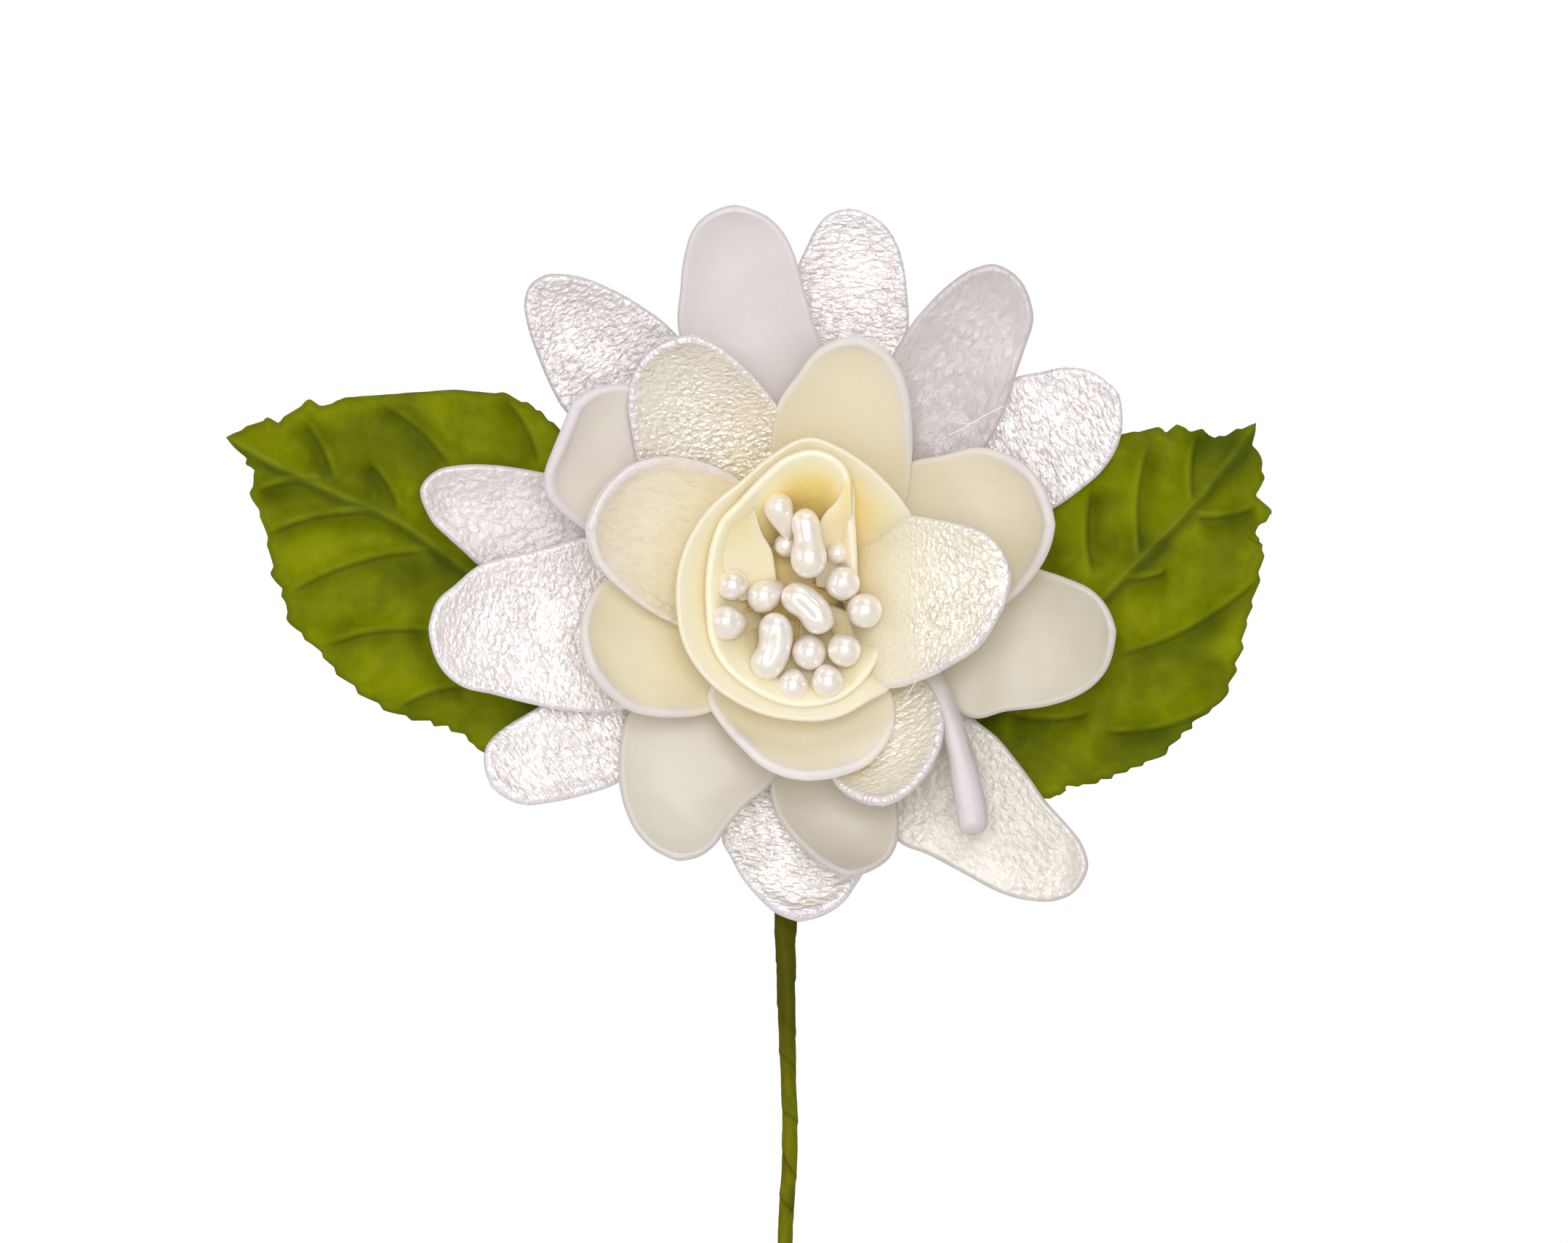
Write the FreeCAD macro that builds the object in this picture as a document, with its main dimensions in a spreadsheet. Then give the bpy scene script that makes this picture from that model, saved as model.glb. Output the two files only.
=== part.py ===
import FreeCAD, Part
import os
import math

# Flower hair clip.  Millimetres.  The flower faces -Y, +Z is up, +X is to the
# right of someone who looks at the flower.  The origin is the middle of the
# clip's gripping plane, on the flower's axis.

V = FreeCAD.Vector
doc = FreeCAD.newDocument("flower_hair_clip")
sheet = doc.addObject("Spreadsheet::Sheet", "Sizes")
SIZES = [
    ("felt_radius", 13.0), ("felt_thick", 1.2), ("glue_radius_back", 9.0), ("glue_radius_front", 6.0), ("glue_thick", 3.2),
    ("core_radius", 4.1), ("core_length", 7.0),
    ("wire_radius", 0.45), ("stem_depth", 3.4), ("bend_radius", 2.6), ("stem_end", 82.0), ("grip_length", 18.0), ("grip_radius", 0.7),
    ("leaf_wire_radius", 0.3), ("leaf_thick", 0.5), ("thread_radius", 0.22),
    ("jaw_half_length", 23.0), ("jaw_half_width", 4.5), ("jaw_thick", 0.6),
    ("hinge_back", 8.0), ("hinge_height", 3.4), ("pin_radius", 0.95), ("pin_head_radius", 1.5), ("pin_head_thick", 0.5),
    ("ear_thick", 0.5), ("ear_radius", 2.2), ("moving_half_width", 3.75), ("running_clearance", 0.05),
    ("spring_radius", 1.6), ("spring_wire_radius", 0.35), ("spring_pitch", 0.78), ("spring_turns", 4.0),
]
for row, (alias, value) in enumerate(SIZES, start=1):
    sheet.set("A%d" % row, alias)
    sheet.set("B%d" % row, repr(value))
    sheet.setAlias("B%d" % row, alias)
doc.recompute()
S = {alias: float(getattr(sheet, alias)) for alias, _ in SIZES}

# ---------------------------------------------------------------- petals
# spine: points from foot to tip; half: half widths; cup: how far the long
# edges rise above the spine; roll: turn about the spine in degrees; ut: where
# the rounded tip starts; p: its squareness; t: thickness of the foam
PETALS = {
    "centre_curl": dict(spine=[(0.5, -12.7, 4.6), (1.0, -13.7, 7.8), (1.8, -16.4, 10.3), (2.68, -19.2, 12.6), (2.97, -20.4, 13.7)],
        half=[1.8, 3.2, 4.8, 5.8, 6.2], cup=[0.3, 0.6, 1.6, 2.8, 3.4], roll=[0, 0, 0, 0, 0], ut=0.9, p=2.6, t=0.8),
    "inner_petal_01": dict(spine=[(-4.01, -10.8, 1.11), (-6.17, -11.4, 1.71), (-11.3, -13.6, 3.27), (-15.46, -16.8, 4.76), (-19.7, -20.0, 6.02)],
        half=[1.0, 3.4, 7.2, 7.0, 6.6], cup=[0, 0.3, 1.1, 1.5, 1.8], roll=[0, 0, 0, 0, 0], ut=0.76, p=2.4, t=1.0),
    "inner_petal_02": dict(spine=[(0.05, -10.8, -4.16), (0.07, -11.3, -6.84), (0.3, -12.6, -11.0), (0.59, -15.6, -14.72), (1.04, -19.2, -18.81)],
        half=[1.0, 3.8, 7.0, 7.0, 6.6], cup=[0, 0.3, 1.1, 1.5, 1.8], roll=[0, 0, 0, 0, 0], ut=0.76, p=2.4, t=1.0),
    "inner_petal_03": dict(spine=[(5.9, -11.6, -1.0), (8.8, -14.2, -2.2), (10.6, -17.0, -2.4), (12.6, -18.9, -1.93), (16.06, -19.4, -1.26), (20.15, -18.6, -0.37)],
        half=[2.0, 4.2, 6.0, 7.2, 6.6, 5.8], cup=[0.4, 1.0, 1.5, 1.0, 0.5, 0.4], roll=[0, 0, 0, 0, 0, 0], ut=0.8, p=2.2, t=0.9),
    "middle_petal_01": dict(spine=[(-2.27, -9.2, 3.49), (-4.83, -9.9, 7.43), (-8.77, -12.6, 14.2), (-11.45, -15.6, 18.81), (-13.31, -18.8, 22.6)],
        half=[1.0, 3.2, 6.8, 6.0, 5.4], cup=[0, 0.3, 1.0, 1.3, 1.5], roll=[0, 0, 0, 0, 0], ut=0.78, p=2.3, t=1.0),
    "middle_petal_02": dict(spine=[(1.1, -9.2, 4.02), (2.23, -9.9, 8.18), (4.31, -12.6, 16.21), (5.2, -15.6, 19.48), (5.5, -18.8, 23.05)],
        half=[1.0, 3.1, 6.2, 5.9, 5.4], cup=[0, 0.3, 1.0, 1.3, 1.5], roll=[0, 0, 0, 0, 0], ut=0.76, p=2.3, t=1.0),
    "middle_petal_03": dict(spine=[(3.96, -9.2, 1.28), (8.03, -9.8, 2.6), (14.28, -12.2, 4.31), (19.33, -14.8, 5.95), (24.01, -17.8, 7.73)],
        half=[1.0, 4.0, 7.5, 7.1, 6.6], cup=[0, 0.3, 1.0, 1.4, 1.6], roll=[0, 0, 0, 0, 0], ut=0.78, p=2.5, t=1.0),
    "middle_petal_04": dict(spine=[(6.4, -10.6, -4.0), (10.4, -11.1, -6.6), (13.6, -12.7, -10.4), (15.7, -13.7, -16.5), (16.8, -13.9, -23.9)],
        half=[0.9, 1.1, 1.7, 2.9, 3.1], cup=[0, 0.1, 0.2, 0.3, 0.3], roll=[0, -35, -78, -80, -78], ut=0.86, p=2.0, t=1.3),
    "middle_petal_05": dict(spine=[(1.9, -9.2, -3.71), (3.27, -9.8, -6.39), (6.84, -12.6, -13.23), (8.77, -15.4, -17.25), (10.26, -18.2, -20.82)],
        half=[1.0, 2.9, 5.6, 5.3, 4.8], cup=[0, 0.3, 0.9, 1.2, 1.4], roll=[0, 0, 0, 0, 0], ut=0.76, p=2.3, t=1.0),
    "middle_petal_06": dict(spine=[(-3.67, -9.2, -1.96), (-6.69, -9.8, -3.57), (-12.19, -12.2, -6.39), (-16.13, -14.8, -7.81), (-19.7, -17.8, -8.7)],
        half=[1.0, 3.7, 6.9, 6.7, 6.2], cup=[0, 0.3, 1.0, 1.4, 1.6], roll=[0, 0, 0, 0, 0], ut=0.76, p=2.5, t=1.0),
    "outer_petal_01": dict(spine=[(-0.84, -7.4, 4.08), (-2.6, -7.9, 12.64), (-4.98, -9.4, 23.05), (-5.95, -10.8, 29.0), (-6.25, -12.4, 35.54)],
        half=[1.0, 4.0, 6.9, 5.8, 5.2], cup=[0, 0.2, 0.5, 0.6, 0.8], roll=[0, 0, 0, 0, 0], ut=0.8, p=2.0, t=1.0),
    "outer_petal_02": dict(spine=[(0.87, -5.7, 4.07), (2.38, -5.9, 11.15), (4.46, -6.8, 22.3), (5.06, -7.9, 29.37), (5.35, -9.4, 35.09)],
        half=[1.0, 3.2, 6.0, 5.5, 4.8], cup=[0, 0.2, 0.5, 0.5, 0.6], roll=[0, 0, 0, 0, 0], ut=0.8, p=2.0, t=1.0),
    "outer_petal_03": dict(spine=[(2.57, -7.4, 3.28), (9.22, -7.9, 11.75), (14.2, -9.4, 18.96), (17.17, -10.8, 24.31), (19.11, -12.4, 29.96)],
        half=[1.0, 3.8, 6.3, 5.5, 4.7], cup=[0, 0.2, 0.5, 0.6, 0.8], roll=[0, 0, 0, 0, 0], ut=0.82, p=2.0, t=1.0),
    "outer_petal_04": dict(spine=[(3.61, -5.7, 2.07), (12.94, -5.9, 7.43), (21.26, -6.8, 12.42), (25.72, -7.9, 15.17), (30.48, -9.4, 17.25)],
        half=[1.0, 3.8, 5.9, 5.6, 5.2], cup=[0, 0.2, 0.3, 0.3, 0.6], roll=[0, 0, 0, 0, 0], ut=0.82, p=2.0, t=1.0),
    "outer_petal_05": dict(spine=[(3.89, -7.4, -1.49), (9.67, -7.9, -3.72), (17.1, -9.4, -6.1), (23.42, -10.8, -5.95), (29.81, -12.4, -6.69)],
        half=[1.0, 4.0, 6.3, 6.1, 5.4], cup=[0, 0.2, 0.5, 0.7, 0.8], roll=[0, 0, 0, 0, 0], ut=0.8, p=2.0, t=1.0),
    "outer_petal_06": dict(spine=[(2.31, -5.7, -3.46), (7.73, -5.9, -11.6), (14.35, -6.6, -20.37), (20.97, -7.6, -25.8), (26.47, -8.8, -29.29)],
        half=[1.0, 3.8, 6.9, 5.8, 5.0], cup=[0, 0.2, 0.4, 0.5, 0.6], roll=[0, 0, 0, 0, 0], ut=0.83, p=2.0, t=1.0),
    "outer_petal_07": dict(spine=[(0.84, -7.4, -4.08), (2.38, -7.9, -11.52), (3.42, -9.0, -19.33), (4.31, -10.4, -23.79), (5.2, -12.4, -28.1)],
        half=[1.0, 3.1, 5.4, 5.7, 5.2], cup=[0, 0.2, 0.5, 0.8, 1.0], roll=[0, 0, 0, 0, 0], ut=0.78, p=2.0, t=1.0),
    "outer_petal_08": dict(spine=[(-0.35, -5.7, -4.15), (-1.04, -5.9, -12.27), (-1.04, -6.4, -21.93), (-0.67, -7.4, -27.51), (-0.07, -9.0, -32.27)],
        half=[1.0, 3.4, 6.5, 6.1, 5.2], cup=[0, 0.2, 0.3, 0.4, 0.6], roll=[0, 0, 0, 0, 0], ut=0.78, p=2.0, t=1.0),
    "outer_petal_09": dict(spine=[(-1.84, -7.4, -3.74), (-4.68, -7.9, -9.52), (-8.62, -9.4, -15.99), (-11.9, -10.8, -21.56), (-12.79, -12.4, -26.54)],
        half=[1.0, 3.3, 6.0, 5.7, 5.0], cup=[0, 0.2, 0.5, 0.6, 0.8], roll=[0, 0, 0, 0, 0], ut=0.8, p=2.0, t=1.0),
    "outer_petal_10": dict(spine=[(-3.33, -5.7, -2.5), (-11.97, -5.9, -9.0), (-20.15, -6.8, -14.8), (-24.39, -7.9, -16.88), (-29.74, -9.4, -18.59)],
        half=[1.0, 3.8, 5.6, 5.2, 4.9], cup=[0, 0.2, 0.4, 0.5, 0.6], roll=[0, 0, 0, 0, 0], ut=0.82, p=2.0, t=1.0),
    "outer_petal_11": dict(spine=[(-4.11, -7.4, -0.67), (-11.0, -7.9, -1.78), (-19.7, -9.4, -4.01), (-26.69, -10.8, -4.54), (-35.17, -12.4, -4.91)],
        half=[1.0, 3.8, 7.6, 6.8, 5.9], cup=[0, 0.2, 0.5, 0.6, 0.8], roll=[0, 0, 0, 0, 0], ut=0.83, p=2.0, t=1.0),
    "outer_petal_12": dict(spine=[(-4.1, -5.7, 0.7), (-14.72, -5.9, 2.53), (-25.95, -6.8, 4.91), (-31.23, -7.9, 6.84), (-36.21, -9.4, 8.62)],
        half=[1.0, 3.4, 5.6, 4.7, 4.1], cup=[0, 0.2, 0.4, 0.5, 0.5], roll=[0, 0, 0, 0, 0], ut=0.84, p=2.0, t=1.0),
    "outer_petal_13": dict(spine=[(-2.72, -5.7, 3.15), (-9.74, -5.9, 11.3), (-16.95, -6.8, 19.7), (-20.97, -7.9, 24.16), (-25.28, -9.4, 28.48)],
        half=[1.0, 4.0, 6.5, 5.4, 4.6], cup=[0, 0.2, 0.4, 0.5, 0.6], roll=[0, 0, 0, 0, 0], ut=0.84, p=2.0, t=1.0),
    "outer_petal_14": dict(spine=[(-3.61, -7.6, 2.08), (-9.67, -8.4, 5.58), (-16.21, -11.2, 9.59), (-20.22, -14.4, 11.9), (-23.2, -17.4, 13.83)],
        half=[1.0, 3.1, 7.2, 6.9, 6.6], cup=[0, 0.3, 1.0, 1.4, 1.6], roll=[0, 0, 0, 0, 0], ut=0.76, p=2.6, t=1.0),
}

# wraps of the centre cup: rim as (clockwise angle from up, radius); the wall
# rises from y0 at f0 of the radius to y1 at the full radius
WRAPS = {
    "centre_wrap_outer": dict(centre=(-0.74, -0.37), rim=[(332, 10.63), (307, 9.89), (289, 10.33), (270, 10.78), (253, 11.23), (237, 11.52), (221, 11.82), (205, 12.19), (188.5, 12.57), (173, 12.94), (158, 13.01), (145, 13.01)],
        y0=-12.5, y1=-18.3, f0=0.3, pw=0.3, t=0.7),
    "centre_wrap_inner": dict(centre=(-0.74, -0.37), rim=[(338, 7.29), (318, 7.43), (296, 7.43), (272, 7.58), (250, 7.88), (228, 8.33), (205, 8.77), (182, 9.07), (160, 9.07), (138, 8.77)],
        y0=-13.3, y1=-15.0, f0=0.5, pw=0.5, t=0.5),
}

# stamen heads: (x, y, z, radius)
ROUND = [(-2.06, -17.2, 6.86, 1.44), (-1.36, -15.3, 3.34, 1.09), (3.57, -16.0, 2.59, 1.13), (4.04, -17.0, -0.3, 1.64), (6.12, -17.2, -2.9, 1.62), (-6.46, -16.7, -0.44, 1.41), (-3.47, -16.2, -1.58, 1.55), (-6.99, -17.0, -4.05, 1.58), (0.84, -16.6, -6.86, 1.62), (4.15, -17.2, -6.63, 1.55), (-0.66, -16.8, -10.03, 1.51), (2.6, -17.1, -9.62, 1.51)]
BEAN = [((0.45, -17.6, 5.54, 1.34), (0.8, -17.8, 1.81, 1.79)), ((-0.36, -17.2, -1.64, 1.55), (1.75, -17.4, -3.69, 1.55)), ((-2.33, -17.2, -4.57, 1.62), (-3.17, -17.0, -7.92, 1.62))]


def unit(v):
    return v * (1.0 / v.Length)


def sample(table, u):
    """Smooth (Catmull-Rom) value of a list of vectors or numbers at 0..1."""
    n = len(table) - 1
    f = min(max(u, 0.0), 1.0) * n
    i = min(int(f), n - 1)
    f -= i
    p1, p2 = table[i], table[i + 1]
    p0 = table[i - 1] if i > 0 else p1 * 2.0 - p2
    p3 = table[i + 2] if i + 2 <= n else p2 * 2.0 - p1
    return (p1 * 2.0 + (p2 - p0) * f + (p0 * 2.0 - p1 * 5.0 + p2 * 4.0 - p3) * (f * f)
            + (p1 * 3.0 - p0 - p2 * 3.0 + p3) * (f * f * f)) * 0.5


def section_wire(front, back):
    """Closed wire through a front row and a back row of points."""
    cf = Part.BSplineCurve()
    cf.interpolate(front)
    cb = Part.BSplineCurve()
    cb.interpolate(back)
    return Part.Wire([cf.toShape(), Part.makeLine(front[-1], back[-1]),
                      cb.toShape(), Part.makeLine(back[0], front[0])])


def petal_solid(d):
    spine = [V(*q) for q in d["spine"]]
    wires = []
    ut, p = d["ut"], d["p"]
    us = [0.0, 0.12, 0.25, 0.38, 0.5, 0.62, ut - 0.04]
    us += [ut + (1.0 - ut) * k for k in (0.35, 0.65, 0.86, 0.97)]
    for u in us:
        c = sample(spine, u)
        tan = unit(sample(spine, u + 0.01) - sample(spine, u - 0.01)) if 0.01 < u < 0.99 else \
            (unit(sample(spine, 0.02) - sample(spine, 0.0)) if u <= 0.01 else unit(sample(spine, 1.0) - sample(spine, 0.98)))
        half = sample(d["half"], u)
        if u > ut:
            half *= max(1.0 - ((u - ut) / (1.0 - ut)) ** p, 0.0) ** (1.0 / p)
        cup = sample(d["cup"], u) * (half / max(sample(d["half"], u), 0.01))
        a = math.radians(sample(d["roll"], u))
        w = unit(tan.cross(V(0, 1, 0)))
        f = tan.cross(w)
        w, f = w * math.cos(a) + f * math.sin(a), f * math.cos(a) - w * math.sin(a)
        front, back = [], []
        for k in (-1.0, -0.5, 0.0, 0.5, 1.0):
            q = c + w * (half * k) + f * (cup * k * k)
            n = unit(f - w * (2.0 * cup * k / max(half, 0.3)))
            front.append(q + n * (d["t"] / 2))
            back.append(q - n * (d["t"] / 2))
        wires.append(section_wire(front, back))
    return Part.makeLoft(wires, True, True)


def wrap_solid(d):
    cx, cz = d["centre"]
    rim = d["rim"]
    ang = [float(a) for a, _ in rim]
    rad = [float(r) for _, r in rim]
    wires = []
    n = 2 * len(rim) - 1
    for i in range(n):
        u = i / (n - 1.0)
        a = math.radians(sample(ang, u))
        r = sample(rad, u)
        out = V(math.sin(a), 0, math.cos(a))
        front, back = [], []
        prof = []
        for s in (0.0, 0.004, 0.04, 0.2, 0.5, 1.0):
            prof.append((r * (d["f0"] + (1.0 - d["f0"]) * s ** d["pw"]), d["y0"] + (d["y1"] - d["y0"]) * s))
        for k, (pr, py) in enumerate(prof):
            a0, a1 = prof[max(k - 1, 0)], prof[min(k + 1, len(prof) - 1)]
            tr, ty = a1[0] - a0[0], a1[1] - a0[1]
            m = math.hypot(tr, ty)
            nr, ny = -ty / m, tr / m
            q = V(cx, 0, cz) + out * pr + V(0, py, 0)
            front.append(q - (out * nr + V(0, ny, 0)) * (d["t"] / 2))
            back.append(q + (out * nr + V(0, ny, 0)) * (d["t"] / 2))
        wires.append(section_wire(front, back))
    return Part.makeLoft(wires, True, True)


def loft_leaf(d):
    """Leaf blade: sections across the midrib, folded a little along it."""
    mid = [V(*q) for q in d["mid"]]
    wires = []
    n = 2 * len(mid) - 1
    for i in range(n):
        u = i / (n - 1.0)
        c = sample(mid, u)
        tan = unit(sample(mid, min(u + 0.02, 1.0)) - sample(mid, max(u - 0.02, 0.0)))
        w = unit(tan.cross(V(0, 1, 0)))
        f = tan.cross(w)
        left, right = max(sample(d["left"], u), 0.25), max(sample(d["right"], u), 0.25)
        front, back = [], []
        for k in (-1.0, -0.5, 0.0, 0.5, 1.0):
            off = k * (right if k > 0 else left)
            q = c + w * off + f * (d["fold"] * abs(k) * min(left, right) / 14.0)
            front.append(q + f * (S["leaf_thick"] / 2))
            back.append(q - f * (S["leaf_thick"] / 2))
        wires.append(section_wire(front, back))
    return Part.makeLoft(wires, True, True)


def rounded_path(points, share=0.45):
    """Straight runs joined by tangent arcs."""
    pts = [V(*q) for q in points]
    edges, start = [], pts[0]
    for i in range(1, len(pts) - 1):
        a, b = unit(pts[i] - pts[i - 1]), unit(pts[i + 1] - pts[i])
        turn = math.acos(max(-1.0, min(1.0, a.dot(b))))
        d = share * min((pts[i] - pts[i - 1]).Length, (pts[i + 1] - pts[i]).Length)
        p, q = pts[i] - a * d, pts[i] + b * d
        m = unit(b - a)
        rad = d / math.tan(turn / 2)
        mid = pts[i] + m * (rad / math.cos(turn / 2) - rad)
        edges.append(Part.LineSegment(start, p).toShape())
        edges.append(Part.Arc(p, mid, q).toShape())
        start = q
    edges.append(Part.LineSegment(start, pts[-1]).toShape())
    return Part.Wire(edges)


def pipe(points, radius):
    path = rounded_path(points)
    first = V(*points[0])
    circle = Part.Wire([Part.makeCircle(radius, first, unit(V(*points[1]) - first))])
    return path.makePipeShell([circle], True, False)


def feature(name, shape):
    """A piece whose freeform shape is worked out above from the tables."""
    obj = doc.addObject("Part::Feature", name)
    obj.Shape = shape
    obj.Placement = FreeCAD.Placement()
    return obj


PIECES = []


def keep(obj, label):
    obj.Label = label
    PIECES.append(obj)
    return obj


for name in sorted(PETALS):
    keep(feature(name + "_shape", petal_solid(PETALS[name])), name)
wrap_shapes = {}
for name in sorted(WRAPS):
    wrap_shapes[name] = wrap_solid(WRAPS[name])
    keep(feature(name + "_shape", wrap_shapes[name]), name)

# ---------------------------------------------------------------- stamens
pearls = []
for i, (x, y, z, r) in enumerate(ROUND):
    ball = doc.addObject("Part::Sphere", "round_pearl_%02d" % (i + 1))
    ball.Radius = r
    ball.Placement = FreeCAD.Placement(V(x, y, z), FreeCAD.Rotation())
    if i == 0:
        # the teardrop head keeps a drawn-out tail of lacquer
        tail = doc.addObject("Part::Cone", "teardrop_tail")
        tail.Radius1, tail.Radius2, tail.Height = 1.30, 0.25, 3.1
        tail.Placement = FreeCAD.Placement(V(x, y, z), FreeCAD.Rotation(V(0, 0, 1), V(-0.10, 0.30, -0.95)))
        drop = doc.addObject("Part::Fuse", "teardrop")
        drop.Base, drop.Tool = ball, tail
        ball = drop
    pearls.append(ball)
group = doc.addObject("Part::Compound", "round_pearls_group")
group.Links = pearls
keep(group, "round_pearls")

beans = []
for i, (a, b) in enumerate(BEAN):
    pa, pb = V(*a[:3]), V(*b[:3])
    one = doc.addObject("Part::Sphere", "bean_%d_one" % (i + 1))
    one.Radius = a[3]
    one.Placement = FreeCAD.Placement(pa, FreeCAD.Rotation())
    two = doc.addObject("Part::Sphere", "bean_%d_two" % (i + 1))
    two.Radius = b[3]
    two.Placement = FreeCAD.Placement(pb, FreeCAD.Rotation())
    waist = doc.addObject("Part::Cylinder", "bean_%d_waist" % (i + 1))
    waist.Radius = 0.88 * min(a[3], b[3])
    waist.Height = (pb - pa).Length
    waist.Placement = FreeCAD.Placement(pa, FreeCAD.Rotation(V(0, 0, 1), pb - pa))
    fused = doc.addObject("Part::MultiFuse", "bean_%d" % (i + 1))
    fused.Shapes = [one, two, waist]
    beans.append(fused)
group = doc.addObject("Part::Compound", "bean_pearls_group")
group.Links = beans
keep(group, "bean_pearls")
doc.recompute()

core_front = -(S["felt_thick"] + S["jaw_thick"] + S["glue_thick"] + S["core_length"])
heads = [obj.Shape for obj in pearls] + [obj.Shape for obj in beans]
threads = []
targets = [(V(x, y, z), r) for x, y, z, r in ROUND]
for a, b in BEAN:
    targets.append(((V(*a[:3]) + V(*b[:3])) * 0.5, min(a[3], b[3])))
for i, (q, r) in enumerate(targets):
    foot = V(q.x * 0.16 + 0.9 * math.cos(i * 2.4), core_front - 0.14, q.z * 0.16 + 0.9 * math.sin(i * 2.4))
    way = q - foot
    threads.append(Part.makeCylinder(S["thread_radius"], way.Length - 0.3 * r, foot, way))
bundle = threads[0].multiFuse(threads[1:]) if len(threads) > 1 else threads[0]
bundle = bundle.cut(heads).cut(list(wrap_shapes.values()))
parts = [sol for sol in bundle.Solids if sol.Volume > 0.08]
keep(feature("stamen_threads_shape", Part.makeCompound(parts)), "stamen_threads")

# ---------------------------------------------------------------- stem
yb, br = -S["stem_depth"], S["bend_radius"]
wire = [Part.makeCylinder(S["wire_radius"], -core_front - 0.8 + yb - br, V(0, core_front + 0.8, 0), V(0, 1, 0))]
bend = Part.Wire([Part.Arc(V(0, yb - br, 0), V(0, yb - br + br * math.sin(math.pi / 4), -br + br * math.cos(math.pi / 4)), V(0, yb, -br)).toShape()])
wire.append(bend.makePipeShell([Part.Wire([Part.makeCircle(S["wire_radius"], V(0, yb - br, 0), V(0, 1, 0))])], True, False))
STEM = [(0.0, -2.6, 0.72), (0.0, -6.0, 0.8), (-0.3, -12.0, 1.0), (-0.95, -19.0, 1.15), (-1.4, -26.0, 1.15), (-1.46, -31.5, 1.08),
        (-1.29, -38.2, 0.9), (-1.14, -46.6, 0.72), (-0.97, -55.1, 0.72), (-1.34, -61.4, 0.7), (-1.4, -64.0, 0.7)]


def stem_loft(radius):
    wires = [Part.Wire([Part.makeCircle(radius if radius else r, V(x, yb, z), V(0, 0, 1))]) for x, z, r in STEM]
    return Part.makeLoft(wires, True, False)


end_z = -S["stem_end"]
grip_top = end_z + S["grip_length"]
xs = STEM[-1][0]
wire.append(stem_loft(S["wire_radius"]))
wire.append(Part.makeCylinder(S["wire_radius"], S["grip_length"] - 0.8, V(xs, yb, end_z + 0.8), V(0, 0, 1)))
wire_shape = wire[0].multiFuse(wire[1:])
keep(feature("stem_wire_shape", wire_shape), "stem_wire")

LEAF_LEFT = dict(
    mid=[(-54.4, -5.2, 13.5), (-50.6, -5.0, 11.5), (-44.6, -4.7, 8.55), (-38.7, -4.4, 5.95), (-34.2, -4.2, 2.97), (-28.25, -4.0, -2.23), (-23.8, -3.95, -8.9), (-19.3, -3.9, -16.4)],
    left=[0.3, 3.6, 9.6, 13.4, 15.8, 14.6, 10.2, 1.4], right=[0.3, 4.2, 9.4, 14.0, 15.6, 14.2, 10.4, 1.4], fold=0.6)
LEAF_RIGHT = dict(
    mid=[(43.1, -5.4, 15.0), (40.6, -5.1, 11.4), (37.3, -4.8, 7.3), (32.1, -4.5, 1.9), (28.4, -4.3, -1.9), (23.8, -4.1, -6.6), (18.8, -4.0, -11.6), (14.4, -3.95, -15.6), (10.2, -3.9, -19.4)],
    left=[0.3, 4.6, 8.6, 13.4, 15.2, 14.8, 11.6, 6.8, 1.3], right=[0.3, 4.4, 9.2, 13.2, 14.6, 14.0, 11.4, 6.8, 1.3], fold=0.6)
back = S["leaf_thick"] / 2 + S["leaf_wire_radius"] + 0.06
WIRE_LEFT = [(-34.2, -4.2 + back, 2.97), (-28.25, -4.0 + back, -2.23), (-23.8, -3.95 + back, -8.9), (-19.3, -3.9 + back, -16.4), (-9.5, -3.36, -21.6), (-2.25, yb, -25.6), (-2.25, yb, -30.6)]
WIRE_RIGHT = [(28.4, -4.3 + back, -1.9), (23.8, -4.1 + back, -6.6), (18.8, -4.0 + back, -11.6), (10.2, -3.9 + back, -19.4), (4.2, -3.36, -23.2), (-0.62, yb, -26.2), (-0.62, yb, -30.6)]
wire_left, wire_right = pipe(WIRE_LEFT, S["leaf_wire_radius"]), pipe(WIRE_RIGHT, S["leaf_wire_radius"])
keep(feature("leaf_left_shape", loft_leaf(LEAF_LEFT)), "leaf_left")
keep(feature("leaf_right_shape", loft_leaf(LEAF_RIGHT)), "leaf_right")
keep(feature("leaf_wire_left_shape", wire_left), "leaf_wire_left")
keep(feature("leaf_wire_right_shape", wire_right), "leaf_wire_right")

tape = stem_loft(None).fuse(Part.makeCylinder(S["grip_radius"], S["grip_length"], V(xs, yb, end_z), V(0, 0, 1)))
tape = tape.cut([wire_shape, wire_left, wire_right])
tape = max(tape.Solids, key=lambda sol: sol.Volume)
keep(feature("stem_tape_shape", tape), "stem_tape")

# ---------------------------------------------------------------- core, glue, felt
along_y = FreeCAD.Rotation(V(1, 0, 0), 90)      # turns +Z into -Y
bead = doc.addObject("Part::Cylinder", "core_bead")
bead.setExpression("Radius", "Sizes.core_radius")
bead.setExpression("Height", "Sizes.core_length")
bead.Placement = FreeCAD.Placement(V(0, -(S["jaw_thick"] + S["felt_thick"] + S["glue_thick"]), 0), along_y)
wire_tool = feature("core_wire_tool", wire_shape)
core = doc.addObject("Part::Cut", "core_cut")
core.Base, core.Tool = bead, wire_tool
keep(core, "flower_core")

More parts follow.
